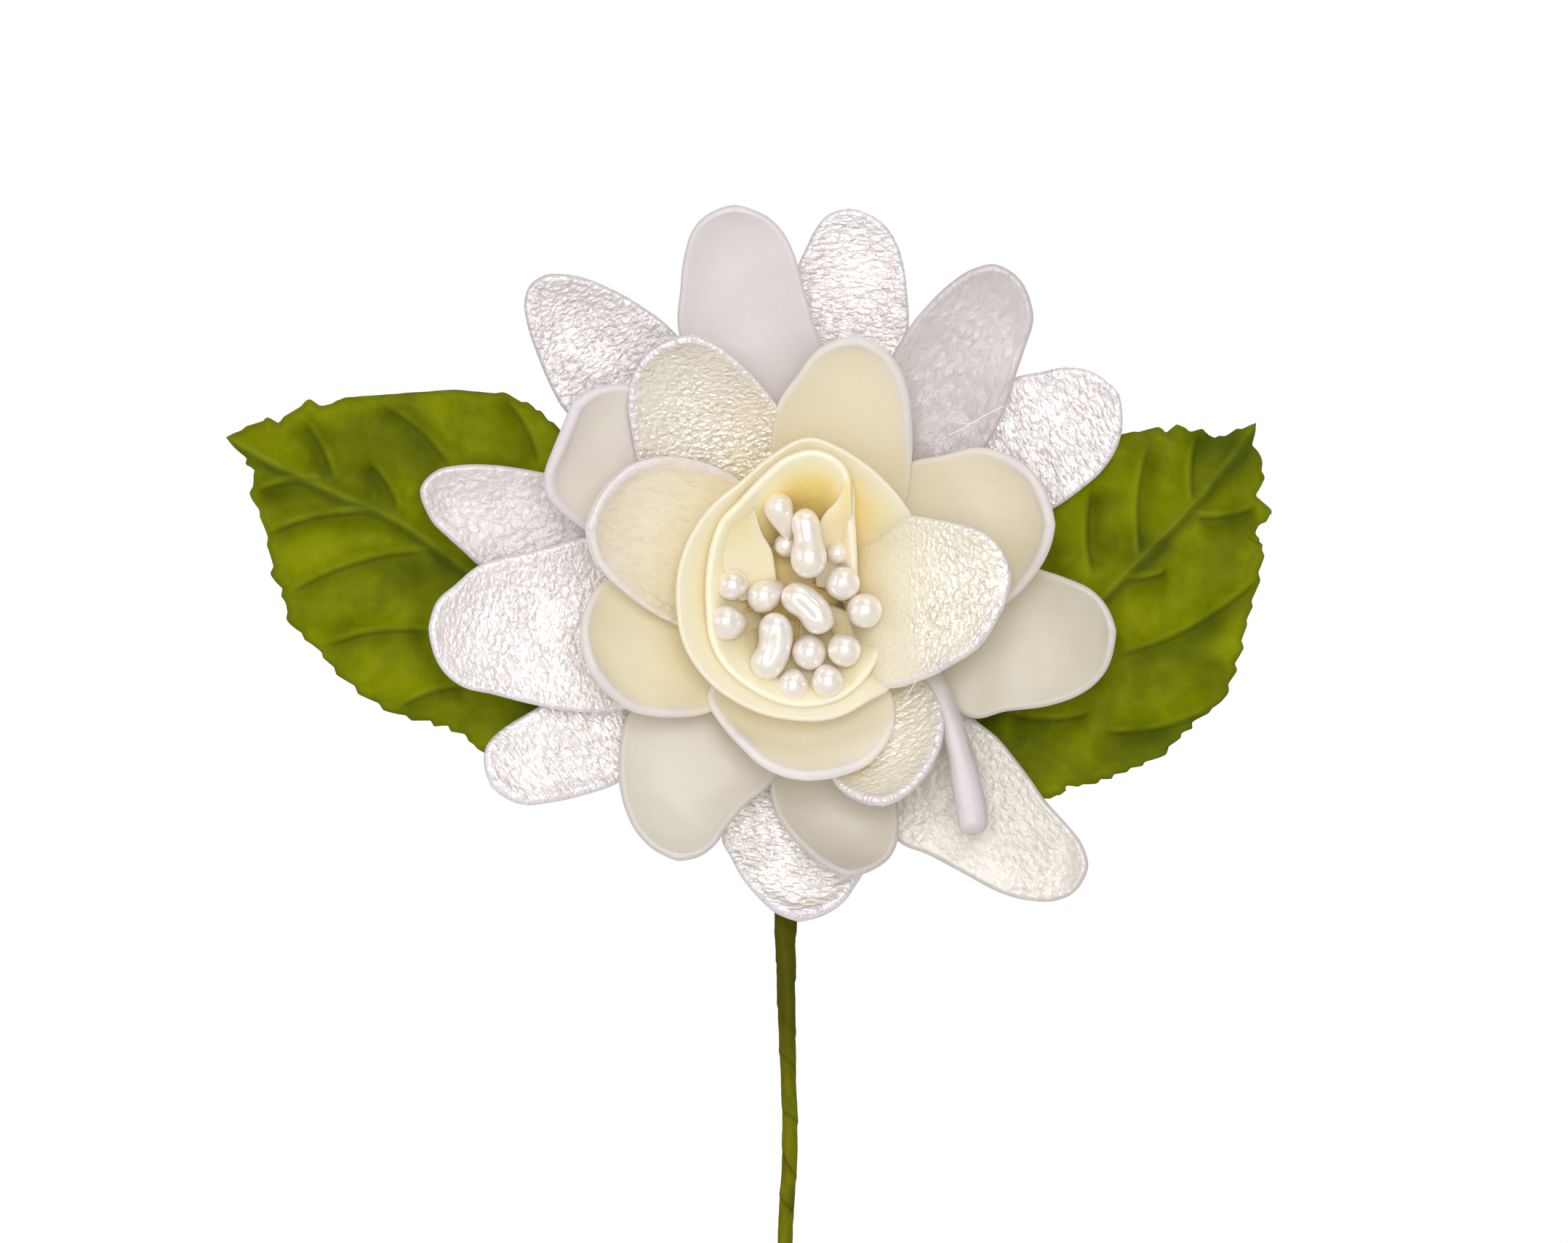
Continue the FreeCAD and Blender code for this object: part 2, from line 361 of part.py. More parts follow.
pad = doc.addObject("Part::Cone", "glue_dome")
pad.setExpression("Radius1", "Sizes.glue_radius_back")
pad.setExpression("Radius2", "Sizes.glue_radius_front")
pad.setExpression("Height", "Sizes.glue_thick")
pad.Placement = FreeCAD.Placement(V(0, -(S["jaw_thick"] + S["felt_thick"]), 0), along_y)
channel = doc.addObject("Part::Box", "stem_channel")
channel.Length, channel.Width, channel.Height = 2.4, 3.2, 12.0
channel.Placement = FreeCAD.Placement(V(-1.35, -5.4, -11.2), FreeCAD.Rotation())
glue = doc.addObject("Part::Cut", "glue_cut")
glue.Base, glue.Tool = pad, channel
keep(glue, "glue_pad")


def body_sketch(label, plane_role, offset=0.0):
    """A body with one sketch on its own origin plane."""
    body = doc.addObject("PartDesign::Body", label + "_body")
    sk = body.newObject("Sketcher::SketchObject", label + "_sketch")
    plane = [f for f in body.Origin.OriginFeatures if f.Role == plane_role][0]
    sk.AttachmentSupport = [(plane, "")]
    sk.MapMode = "FlatFace"
    sk.AttachmentOffset = FreeCAD.Placement(V(0, 0, offset), FreeCAD.Rotation())
    return body, sk


def add_polygon(sk, pts):
    n = len(pts)
    for i in range(n):
        sk.addGeometry(Part.LineSegment(V(*pts[i], 0), V(*pts[(i + 1) % n], 0)), False)


def pad_sketch(body, sk, name, length, both=True):
    p = body.newObject("PartDesign::Pad", name)
    p.Profile = sk
    p.Length = length
    p.Midplane = both
    return p


# felt disc behind the flower, its axis along Y
felt_body, felt_sk = body_sketch("felt", "XZ_Plane")
felt_sk.addGeometry(Part.Circle(V(0, 0, 0), V(0, 0, 1), S["felt_radius"]), False)
felt_pad = pad_sketch(felt_body, felt_sk, "felt_disc_pad", S["felt_thick"], both=False)
felt_pad.setExpression("Length", "Sizes.felt_thick")
doc.recompute()
if felt_pad.Shape.BoundBox.YMin > -0.1:
    felt_pad.Reversed = True
    doc.recompute()
felt_body.Placement = FreeCAD.Placement(V(0, -S["jaw_thick"], 0), FreeCAD.Rotation())
keep(felt_body, "felt_backing")

# ---------------------------------------------------------------- clip
# side views are drawn in the X-Y plane and padded along Z
HX, HY = -S["hinge_back"], S["hinge_height"]
JL, JW, JT = S["jaw_half_length"], S["jaw_half_width"], S["jaw_thick"]


def ribbon(mid_line, thick):
    """Outline of a bent strip of sheet from its middle line."""
    up, down = [], []
    n = len(mid_line)
    for i, (x, y) in enumerate(mid_line):
        a, b = mid_line[max(i - 1, 0)], mid_line[min(i + 1, n - 1)]
        tx, ty = b[0] - a[0], b[1] - a[1]
        m = math.hypot(tx, ty)
        up.append((x - ty / m * thick / 2, y + tx / m * thick / 2))
        down.append((x + ty / m * thick / 2, y - tx / m * thick / 2))
    return up + down[::-1]


def side_pad(label, outline, z_mid, width, hole=None):
    body, sk = body_sketch(label, "XY_Plane", z_mid)
    add_polygon(sk, outline)
    if hole:
        sk.addGeometry(Part.Circle(V(HX, HY, 0), V(0, 0, 1), hole), False)
    pad_sketch(body, sk, label + "_pad", width)
    return body


def ear_outline(r, top, half_base, low):
    """Rounded lug round the hinge axis that grows from its own plate."""
    pts = []
    if low:       # stands on the plate below, round at the top
        pts = [(HX - half_base, top), (HX + half_base, top)]
        for k in range(13):
            a = math.pi * k / 12.0
            pts.append((HX + r * math.cos(a), HY + r * math.sin(a)))
    else:         # hangs from the plate above, round at the bottom
        pts = [(HX + half_base, top), (HX - half_base, top)]
        for k in range(13):
            a = math.pi + math.pi * k / 12.0
            pts.append((HX + r * math.cos(a), HY + r * math.sin(a)))
    return pts


def fuse(name, objs):
    f = doc.addObject("Part::MultiFuse", name)
    f.Shapes = objs
    return f


ET = S["ear_thick"]
plate_body, plate_sk = body_sketch("fixed_plate", "XZ_Plane")
add_polygon(plate_sk, [(-JL, -JW + 1.2), (-JL + 1.2, -JW), (JL - 3.0, -JW), (JL, -JW + 2.6), (JL, JW - 2.6), (JL - 3.0, JW), (-JL + 1.2, JW), (-JL, JW - 1.2)])
plate_pad = pad_sketch(plate_body, plate_sk, "fixed_plate_pad", JT, both=False)
plate_pad.setExpression("Length", "Sizes.jaw_thick")
doc.recompute()
if plate_pad.Shape.BoundBox.YMin > -0.1:
    plate_pad.Reversed = True
    doc.recompute()
ear_z = JW - ET / 2
fixed_ears = [side_pad("fixed_ear_%s" % s, ear_outline(S["ear_radius"], -0.05, 2.6, True), k * ear_z, ET, S["pin_radius"] + 0.01) for s, k in (("up", 1), ("low", -1))]
keep(fuse("fixed_jaw_fuse", [plate_body] + fixed_ears), "clip_fixed_jaw")

ARCH = [(-JL, 11.2), (-17.5, 9.25), (-12.0, 7.3), (-10.0, 6.55), (-8.0, 6.2), (-4.0, 6.05), (0.0, 5.85), (5.0, 5.5), (9.0, 5.0), (13.0, 4.05), (17.0, 2.75), (20.5, 1.55), (JL - 0.4, 0.95)]
MW = S["moving_half_width"]
arch = side_pad("moving_arch", ribbon(ARCH, JT), 0.0, 2 * MW - 0.4)
m_ear_z = MW - ET / 2
moving_ears = [side_pad("moving_ear_%s" % s, ear_outline(1.8, 6.2, 1.9, False), k * m_ear_z, ET, S["pin_radius"] + S["running_clearance"]) for s, k in (("up", 1), ("low", -1))]
# toothed side flanges of the moving jaw's nose
lip = [(12.6, 4.1), (12.6, 1.9)]
x = 13.0
while x < 21.8:
    lip += [(x + 0.55, 0.14), (x + 1.1, 0.95)]
    x += 1.1
lip += [(22.5, 0.14), (22.6, 1.0), (20.5, 1.5), (17.0, 2.7)]
flanges = [side_pad("nose_flange_%s" % s, lip, k * (MW - 0.2 - ET / 2), ET) for s, k in (("up", 1), ("low", -1))]
keep(fuse("moving_jaw_fuse", [arch] + moving_ears + flanges), "clip_moving_jaw")

# headed hinge pin, turned about its own axis
pin_body, pin_sk = body_sketch("pin", "XZ_Plane")
half = JW + 0.03
add_polygon(pin_sk, [(0, -half - S["pin_head_thick"]), (S["pin_head_radius"], -half - S["pin_head_thick"]), (S["pin_head_radius"], -half), (S["pin_radius"], -half),
                     (S["pin_radius"], half), (S["pin_head_radius"], half), (S["pin_head_radius"], half + S["pin_head_thick"]), (0, half + S["pin_head_thick"])])
turn = pin_body.newObject("PartDesign::Revolution", "pin_turning")
turn.Profile = pin_sk
turn.ReferenceAxis = (pin_sk, ["V_Axis"])
turn.Angle = 360.0
doc.recompute()
pin_body.Placement = FreeCAD.Placement(V(HX, HY, 0), FreeCAD.Rotation())
keep(pin_body, "hinge_pin")

# torsion spring: close-wound coil with two straight arms under the finger tabs
sr, sw = S["spring_radius"], S["spring_wire_radius"]
turns = int(S["spring_turns"])
coil_half = S["spring_pitch"] * (turns - 1) / 2.0
coils = []
for i in range(turns):
    coils.append(Part.makeTorus(sr, sw, V(HX, HY, -coil_half + i * S["spring_pitch"]), V(0, 0, 1)))
arm_low = Part.makeCylinder(sw, 10.2, V(HX, HY - sr, -coil_half), V(-10.0, -(HY - sr - sw - 0.04), 0))
arm_high = Part.makeCylinder(sw, 10.6, V(HX, HY + sr, coil_half), V(-10.0, 3.62, 0))
bars = [Part.makeCylinder(sw * 0.8, 2 * coil_half, V(HX + sr, HY, -coil_half), V(0, 0, 1))]
spring = coils[0].multiFuse(coils[1:] + [arm_low, arm_high] + bars)
keep(feature("torsion_spring_shape", spring), "torsion_spring")

# ---------------------------------------------------------------- write
doc.recompute()
bad = [o.Name for o in doc.Objects if "Invalid" in o.State or "Error" in o.State]
for o in PIECES:
    if o.Shape.isNull() or not o.Shape.isValid() or not o.Shape.Solids:
        bad.append(o.Label)
    print("%-20s solids %2d  volume %9.3f  box %s" % (o.Label, len(o.Shape.Solids), o.Shape.Volume,
          " ".join("%.1f" % q for q in (o.Shape.BoundBox.XMin, o.Shape.BoundBox.XMax, o.Shape.BoundBox.YMin, o.Shape.BoundBox.YMax, o.Shape.BoundBox.ZMin, o.Shape.BoundBox.ZMax))))
if bad:
    raise RuntimeError("failed objects: " + ", ".join(bad))
os.makedirs("parts", exist_ok=True)
for o in PIECES:
    o.Shape.exportStep("parts/" + o.Label + ".step")
print("wrote", len(PIECES), "pieces")
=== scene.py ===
import bpy
import bmesh
import math
import random
import numpy as np
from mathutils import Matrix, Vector, noise


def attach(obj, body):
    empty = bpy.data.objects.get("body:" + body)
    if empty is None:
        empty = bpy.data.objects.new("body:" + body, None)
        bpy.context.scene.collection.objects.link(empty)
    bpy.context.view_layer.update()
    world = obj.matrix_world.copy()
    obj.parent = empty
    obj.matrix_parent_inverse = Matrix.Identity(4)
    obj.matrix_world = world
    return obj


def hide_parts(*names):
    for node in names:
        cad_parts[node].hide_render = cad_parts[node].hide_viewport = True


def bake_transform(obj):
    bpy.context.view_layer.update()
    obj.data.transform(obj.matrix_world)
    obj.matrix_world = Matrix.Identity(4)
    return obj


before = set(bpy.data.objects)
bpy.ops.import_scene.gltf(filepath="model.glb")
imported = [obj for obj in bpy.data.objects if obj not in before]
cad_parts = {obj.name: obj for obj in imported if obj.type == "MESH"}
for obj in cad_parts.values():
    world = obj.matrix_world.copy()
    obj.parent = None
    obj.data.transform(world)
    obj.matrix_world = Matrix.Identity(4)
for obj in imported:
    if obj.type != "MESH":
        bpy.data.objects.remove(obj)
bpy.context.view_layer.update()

# ---------------------------------------------------------------- flower hair clip
# Metres in the scene; the tables below are in millimetres, in the part's frame:
# the flower faces -Y, +Z up, the origin is the middle of the clip's grip.
MM = 0.001
random.seed(7)
scene = bpy.context.scene
scene.view_settings.view_transform = "Standard"

# ---------------------------------------------------------------- camera, light, floor
cam_data = bpy.data.cameras.new("camera")
cam_data.sensor_width = 36.0
cam_data.lens = 217.9
cam_data.clip_start = 0.01
cam = bpy.data.objects.new("camera", cam_data)
scene.collection.objects.link(cam)
cam.location = (-0.00152, -0.912, -0.0039)
cam.rotation_euler = (math.radians(90), 0, 0)
scene.camera = cam


def area_light(name, loc, target, size, power, colour=(1, 1, 1)):
    data = bpy.data.lights.new(name, "AREA")
    data.shape = "SQUARE"
    data.size = size
    data.energy = power
    data.color = colour
    ob = bpy.data.objects.new(name, data)
    scene.collection.objects.link(ob)
    ob.location = loc
    ob.rotation_euler = (Vector(target) - Vector(loc)).to_track_quat("-Z", "Y").to_euler()
    ob.visible_camera = False
    return ob


AIM = (0.0, -0.012, 0.0)
area_light("key_softbox", (0.010, -0.62, 0.085), AIM, 0.26, 1.30)
highlight = area_light("highlight_softbox", (0.004, -0.60, 0.045), AIM, 0.54, 6.0)
highlight.visible_diffuse = False
area_light("top_softbox", (0.12, -0.30, 0.60), AIM, 0.50, 0.95)
area_light("left_fill", (-0.60, -0.30, 0.12), AIM, 0.40, 0.55)
area_light("back_softbox", (0.25, 0.60, 0.35), AIM, 0.45, 1.5)

world = bpy.data.worlds.new("soft_white")
scene.world = world
world.use_nodes = True
wt = world.node_tree
wt.nodes.clear()
w_out = wt.nodes.new("ShaderNodeOutputWorld")
w_mix = wt.nodes.new("ShaderNodeMixShader")
w_path = wt.nodes.new("ShaderNodeLightPath")
w_fill = wt.nodes.new("ShaderNodeBackground")
w_seen = wt.nodes.new("ShaderNodeBackground")
w_fill.inputs["Color"].default_value = (0.93, 0.96, 1.0, 1)
w_fill.inputs["Strength"].default_value = 0.43
w_seen.inputs["Color"].default_value = (1, 1, 1, 1)
w_seen.inputs["Strength"].default_value = 1.0
wt.links.new(w_path.outputs["Is Camera Ray"], w_mix.inputs[0])
wt.links.new(w_fill.outputs[0], w_mix.inputs[1])
wt.links.new(w_seen.outputs[0], w_mix.inputs[2])
wt.links.new(w_mix.outputs[0], w_out.inputs[0])


# ---------------------------------------------------------------- node helpers
def new_material(name):
    m = bpy.data.materials.new(name)
    m.use_nodes = True
    nt = m.node_tree
    nt.nodes.clear()
    out = nt.nodes.new("ShaderNodeOutputMaterial")
    bsdf = nt.nodes.new("ShaderNodeBsdfPrincipled")
    nt.links.new(bsdf.outputs[0], out.inputs["Surface"])
    return m, nt, bsdf


def srgb(r, g, b):
    def lin(c):
        c /= 255.0
        return c / 12.92 if c <= 0.04045 else ((c + 0.055) / 1.055) ** 2.4
    return (lin(r), lin(g), lin(b), 1.0)


def node(nt, kind, **inputs):
    n = nt.nodes.new(kind)
    for k, v in inputs.items():
        n.inputs[k.replace("_", " ")].default_value = v
    return n


def link(nt, a, b):
    nt.links.new(a, b)


def coords(nt, scale=(1, 1, 1), uv=False, rot=(0, 0, 0)):
    tc = nt.nodes.new("ShaderNodeTexCoord")
    mp = nt.nodes.new("ShaderNodeMapping")
    mp.inputs["Scale"].default_value = scale
    mp.inputs["Rotation"].default_value = rot
    nt.links.new(tc.outputs["UV" if uv else "Object"], mp.inputs["Vector"])
    return mp.outputs[0]


def noise_tex(nt, vec, scale, detail=2.0, rough=0.5, distortion=0.0):
    n = node(nt, "ShaderNodeTexNoise", Scale=scale, Detail=detail, Roughness=rough, Distortion=distortion)
    link(nt, vec, n.inputs["Vector"])
    return n.outputs["Fac"]


def smooth_range(nt, value, low, high):
    n = nt.nodes.new("ShaderNodeMapRange")
    n.interpolation_type = "SMOOTHSTEP"
    n.inputs["From Min"].default_value = low
    n.inputs["From Max"].default_value = high
    link(nt, value, n.inputs["Value"])
    return n.outputs["Result"]


def voronoi(nt, vec, scale, feature="SMOOTH_F1", smooth=0.6):
    n = nt.nodes.new("ShaderNodeTexVoronoi")
    n.feature = feature
    n.inputs["Scale"].default_value = scale
    if feature == "SMOOTH_F1":
        n.inputs["Smoothness"].default_value = smooth
    link(nt, vec, n.inputs["Vector"])
    return n.outputs["Distance"]


def math_node(nt, op, a, b=None, clamp=False):
    n = nt.nodes.new("ShaderNodeMath")
    n.operation = op
    n.use_clamp = clamp
    for i, v in enumerate((a, b)):
        if v is None:
            continue
        if isinstance(v, (int, float)):
            n.inputs[i].default_value = v
        else:
            link(nt, v, n.inputs[i])
    return n.outputs[0]


def mix_colour(nt, fac, a, b, blend="MIX"):
    n = nt.nodes.new("ShaderNodeMix")
    n.data_type = "RGBA"
    n.blend_type = blend
    if isinstance(fac, (int, float)):
        n.inputs["Factor"].default_value = fac
    else:
        link(nt, fac, n.inputs["Factor"])
    for key, v in ((6, a), (7, b)):
        if isinstance(v, tuple):
            n.inputs[key].default_value = v
        else:
            link(nt, v, n.inputs[key])
    return n.outputs[2]


def attribute(nt, name):
    n = nt.nodes.new("ShaderNodeAttribute")
    n.attribute_name = name
    return n.outputs["Fac"]


def ramp(nt, fac, stops):
    n = nt.nodes.new("ShaderNodeValToRGB")
    cr = n.color_ramp
    while len(cr.elements) < len(stops):
        cr.elements.new(0.5)
    for e, (pos, col) in zip(cr.elements, stops):
        e.position = pos
        e.color = col
    link(nt, fac, n.inputs[0])
    return n.outputs["Color"]


def bump(nt, height, strength, distance, bsdf, prev=None):
    b = nt.nodes.new("ShaderNodeBump")
    b.inputs["Strength"].default_value = strength
    b.inputs["Distance"].default_value = distance
    link(nt, height, b.inputs["Height"])
    if prev is not None:
        link(nt, prev, b.inputs["Normal"])
    link(nt, b.outputs[0], bsdf.inputs["Normal"])
    link(nt, b.outputs[0], bsdf.inputs["Coat Normal"])
    return b.outputs[0]


# ---------------------------------------------------------------- materials
# Satin bonded to foam.  UV is in centimetres: x across the petal, y along it.
KINDS = {
    #               stretch x, y   cell/mm  bump  weave  rough  spec  coat
    "smooth":         ((1.0, 0.45), 1.5, 0.05, 0.05, 0.52, 0.45, 0.05),
    "smooth_pebbled": ((1.0, 0.8), 1.8, 0.34, 0.10, 0.44, 0.60, 0.22),
    "pebbled":        ((0.62, 1.0), 2.3, 1.00, 0.10, 0.30, 1.00, 0.90),
    "pebbled_soft":   ((0.8, 1.0), 2.2, 0.70, 0.10, 0.36, 0.85, 0.60),
    "pebbled_gold":   ((0.85, 0.9), 2.4, 1.00, 0.10, 0.32, 1.00, 0.90),
    "wrinkled":       ((1.0, 0.40), 1.7, 0.42, 0.10, 0.46, 0.50, 0.12),
    "streaked":       ((1.0, 0.32), 1.5, 0.80, 0.10, 0.32, 0.95, 0.85),
    "cup":            ((1.0, 0.4), 0.9, 0.05, 0.03, 0.55, 0.35, 0.03),
}
_petal_mats = {}


def petal_material(kind):
    if kind in _petal_mats:
        return _petal_mats[kind]
    (sx, sy), cell, strength, fine, rough, spec, coat = KINDS[kind]
    m, nt, b = new_material("satin_" + kind)
    uv = coords(nt, (sx, sy, 1.0), uv=True)
    ob = coords(nt, (1, 1, 1))
    # colour: lavender-white through cream to warm yellow, set by how deep in the flower it lies; partly the satin's
    # own cream, partly painted shade deep in the flower
    warm = attribute(nt, "warm")
    blotch = noise_tex(nt, ob, 220.0, 3.0, 0.6)
    warm2 = math_node(nt, "ADD", warm, math_node(nt, "MULTIPLY", math_node(nt, "SUBTRACT", blotch, 0.5), 0.12), clamp=True)
    base = ramp(nt, warm2, [(0.0, srgb(231, 222, 221)), (0.30, srgb(234, 225, 209)), (0.60, srgb(238, 227, 197)), (0.82, srgb(243, 223, 174)), (1.0, srgb(243, 212, 132))])
    rim = attribute(nt, "rim")
    rim_n = math_node(nt, "MULTIPLY", rim, math_node(nt, "ADD", math_node(nt, "MULTIPLY", noise_tex(nt, ob, 1100.0, 3.0, 0.6), 1.3), 0.08), clamp=True)
    base = mix_colour(nt, rim_n, base, srgb(225, 215, 224))
    # pebbles of the crinkled satin: rounded cells broken by finer creases
    wob = noise_tex(nt, uv, 14.0, 2.0, 0.5)
    warp = nt.nodes.new("ShaderNodeVectorMath")
    warp.operation = "ADD"
    wv = nt.nodes.new("ShaderNodeCombineXYZ")
    link(nt, math_node(nt, "MULTIPLY", wob, 0.10), wv.inputs[0])
    link(nt, math_node(nt, "MULTIPLY", blotch, 0.08), wv.inputs[1])
    link(nt, uv, warp.inputs[0])
    link(nt, wv.outputs[0], warp.inputs[1])
    cells = voronoi(nt, warp.outputs[0], cell * 10.0, smooth=0.7)
    crinkle = noise_tex(nt, warp.outputs[0], cell * 15.0, 3.0, 0.60, 0.8)
    patches = noise_tex(nt, ob, 260.0, 2.0, 0.5)
    calm = math_node(nt, "ADD", math_node(nt, "MULTIPLY", smooth_range(nt, patches, 0.36, 0.56), 0.42), 0.70)
    h = math_node(nt, "SUBTRACT", math_node(nt, "MULTIPLY", crinkle, 0.75), math_node(nt, "MULTIPLY", cells, 1.15))
    pebble = attribute(nt, "pebble")
    h = math_node(nt, "MULTIPLY", math_node(nt, "MULTIPLY", h, calm), pebble)
    n1 = bump(nt, h, 1.0, 0.00047 * strength / cell, b)
    weave = noise_tex(nt, coords(nt, (1, 1, 1), uv=True), 260.0, 1.0, 0.5)
    bump(nt, weave, fine, 0.00003, b, n1)
    # painted light and shade: the per-piece 'tone' attribute scales the satin's colour lighter or darker
    scaled = nt.nodes.new("ShaderNodeVectorMath")
    scaled.operation = "SCALE"
    link(nt, base, scaled.inputs[0])
    link(nt, attribute(nt, "tone"), scaled.inputs["Scale"])
    base = scaled.outputs[0]
    # painted shade: the crinkle valleys are darkened towards greyish beige (196, 180, 170)
    crinkle_valley_shade = math_node(nt, "MULTIPLY", math_node(nt, "SUBTRACT", 0.55, crinkle, clamp=True), 0.9 * strength + 0.04, clamp=True)
    base = mix_colour(nt, crinkle_valley_shade, base, srgb(196, 180, 170), "MULTIPLY")
    link(nt, base, b.inputs["Base Color"])
    rr = math_node(nt, "ADD", math_node(nt, "MULTIPLY", crinkle, 0.16), rough - 0.08)
    link(nt, rr, b.inputs["Roughness"])
    b.inputs["Specular IOR Level"].default_value = spec
    b.inputs["Sheen Weight"].default_value = 0.15
    b.inputs["Sheen Roughness"].default_value = 0.35
    b.inputs["Sheen Tint"].default_value = (1.0, 0.97, 0.95, 1)
    link(nt, math_node(nt, "MULTIPLY", pebble, coat), b.inputs["Coat Weight"])
    b.inputs["Coat IOR"].default_value = 1.75
    b.inputs["Coat Roughness"].default_value = 0.20
    b.inputs["Subsurface Weight"].default_value = 0.25 if kind != "cup" else 0.35
    b.inputs["Subsurface Radius"].default_value = (1.0, 0.85, 0.55) if kind != "cup" else (1.0, 0.95, 0.85)
    b.inputs["Subsurface Scale"].default_value = 0.0018
    _petal_mats[kind] = m
    return m


def pearl_material():
    m, nt, b = new_material("pearl_lacquer")
    ob = coords(nt)
    swirl = noise_tex(nt, ob, 420.0, 3.0, 0.6, 1.2)
    base = ramp(nt, swirl, [(0.25, srgb(236, 221, 200)), (0.5, srgb(240, 230, 216)), (0.75, srgb(236, 227, 224))])
    link(nt, base, b.inputs["Base Color"])
    b.inputs["Roughness"].default_value = 0.36
    b.inputs["Metallic"].default_value = 0.05
    b.inputs["Coat Weight"].default_value = 1.0
    b.inputs["Coat Roughness"].default_value = 0.045
    b.inputs["Coat IOR"].default_value = 2.3
    b.inputs["Sheen Weight"].default_value = 0.25
    b.inputs["Sheen Tint"].default_value = (1.0, 0.9, 0.92, 1)
    b.inputs["Subsurface Weight"].default_value = 0.25
    b.inputs["Subsurface Radius"].default_value = (1.0, 0.8, 0.6)
    b.inputs["Subsurface Scale"].default_value = 0.0008
    bump(nt, noise_tex(nt, ob, 900.0, 2.0, 0.5), 0.10, 0.00004, b)
    return m


def leaf_material():
    m, nt, b = new_material("leaf_satin")
    ob = coords(nt)
    uv = coords(nt, (1, 1, 1), uv=True)
    big = noise_tex(nt, ob, 95.0, 4.0, 0.6, 0.5)
    mid = noise_tex(nt, ob, 420.0, 4.0, 0.65)
    tone = math_node(nt, "ADD", math_node(nt, "MULTIPLY", big, 0.75), math_node(nt, "MULTIPLY", mid, 0.35))
    base = ramp(nt, tone, [(0.32, srgb(84, 95, 0)), (0.48, srgb(112, 120, 0)), (0.62, srgb(132, 140, 0)), (0.80, srgb(150, 156, 14))])
    # painted shade: the 'crease' attribute darkens the leaf along the midrib, below each vein's pleat and in the
    # pucker hollows
    crease_shade = math_node(nt, "MULTIPLY", attribute(nt, "crease"), 0.85, clamp=True)
    base = mix_colour(nt, crease_shade, base, srgb(62, 72, 0))
    # lighter vein lines: partly the veins' own paler green, partly painted highlight on their lit upper side
    vein_and_highlight = math_node(nt, "MULTIPLY", attribute(nt, "vein_and_highlight"), 0.55, clamp=True)
    base = mix_colour(nt, vein_and_highlight, base, srgb(160, 170, 40))
    edge = math_node(nt, "MULTIPLY", attribute(nt, "rim"), 0.35, clamp=True)
    base = mix_colour(nt, edge, base, srgb(78, 88, 14))
    link(nt, base, b.inputs["Base Color"])
    b.inputs["Roughness"].default_value = 0.62
    b.inputs["Specular IOR Level"].default_value = 0.03
    b.inputs["Sheen Weight"].default_value = 0.0
    b.inputs["Sheen Roughness"].default_value = 0.4
    b.inputs["Sheen Tint"].default_value = (0.95, 1.0, 0.6, 1)
    wv = noise_tex(nt, coords(nt, (1.0, 0.25, 1.0), uv=True), 150.0, 2.0, 0.6)
    n1 = bump(nt, math_node(nt, "ADD", mid, math_node(nt, "MULTIPLY", big, 0.8)), 0.55, 0.00022, b)
    bump(nt, wv, 0.30, 0.00005, b, n1)
    return m


def tape_material():
    m, nt, b = new_material("floral_tape")
    ob = coords(nt, (1.0, 1.0, 0.30))
    a = noise_tex(nt, ob, 900.0, 4.0, 0.65, 0.8)
    c = noise_tex(nt, coords(nt), 160.0, 2.0, 0.5)
    base = ramp(nt, math_node(nt, "ADD", math_node(nt, "MULTIPLY", a, 0.6), math_node(nt, "MULTIPLY", c, 0.4)),
                [(0.30, srgb(84, 84, 0)), (0.50, srgb(116, 115, 4)), (0.70, srgb(140, 138, 14))])
    # darkened by the 'crease' attribute: the seams between wraps, plus painted shade on the upper stem and in its
    # dents
    base = mix_colour(nt, math_node(nt, "MULTIPLY", attribute(nt, "crease"), 0.7, clamp=True), base, srgb(58, 60, 6))
    link(nt, base, b.inputs["Base Color"])
    b.inputs["Roughness"].default_value = 0.62
    b.inputs["Specular IOR Level"].default_value = 0.04
    bump(nt, a, 0.6, 0.00012, b)
    return m


def simple_material(name, colour, rough, metallic=0.0, bump_scale=1200.0, bump_strength=0.2, distance=0.00004, coat=0.0, vary=0.12, stretch=(1, 1, 1), sub=0.0):
    m, nt, b = new_material(name)
    ob = coords(nt, stretch)
    n = noise_tex(nt, ob, bump_scale, 3.0, 0.6)
    big = noise_tex(nt, coords(nt), bump_scale * 0.12, 3.0, 0.6)
    darker = tuple(c * (1.0 - vary) for c in colour[:3]) + (1.0,)
    lighter = tuple(min(1.0, c * (1.0 + vary)) for c in colour[:3]) + (1.0,)
    base = mix_colour(nt, math_node(nt, "ADD", math_node(nt, "MULTIPLY", n, 0.5), math_node(nt, "MULTIPLY", big, 0.5)), darker, lighter)
    link(nt, base, b.inputs["Base Color"])
    rr = math_node(nt, "ADD", math_node(nt, "MULTIPLY", big, 0.2), rough - 0.1)
    link(nt, rr, b.inputs["Roughness"])
    b.inputs["Metallic"].default_value = metallic
    b.inputs["Coat Weight"].default_value = coat
    b.inputs["Coat Roughness"].default_value = 0.12
    if sub:
        b.inputs["Subsurface Weight"].default_value = sub
        b.inputs["Subsurface Radius"].default_value = (1.0, 0.9, 0.7)
        b.inputs["Subsurface Scale"].default_value = 0.002
    bump(nt, n, bump_strength, distance, b)
    return m


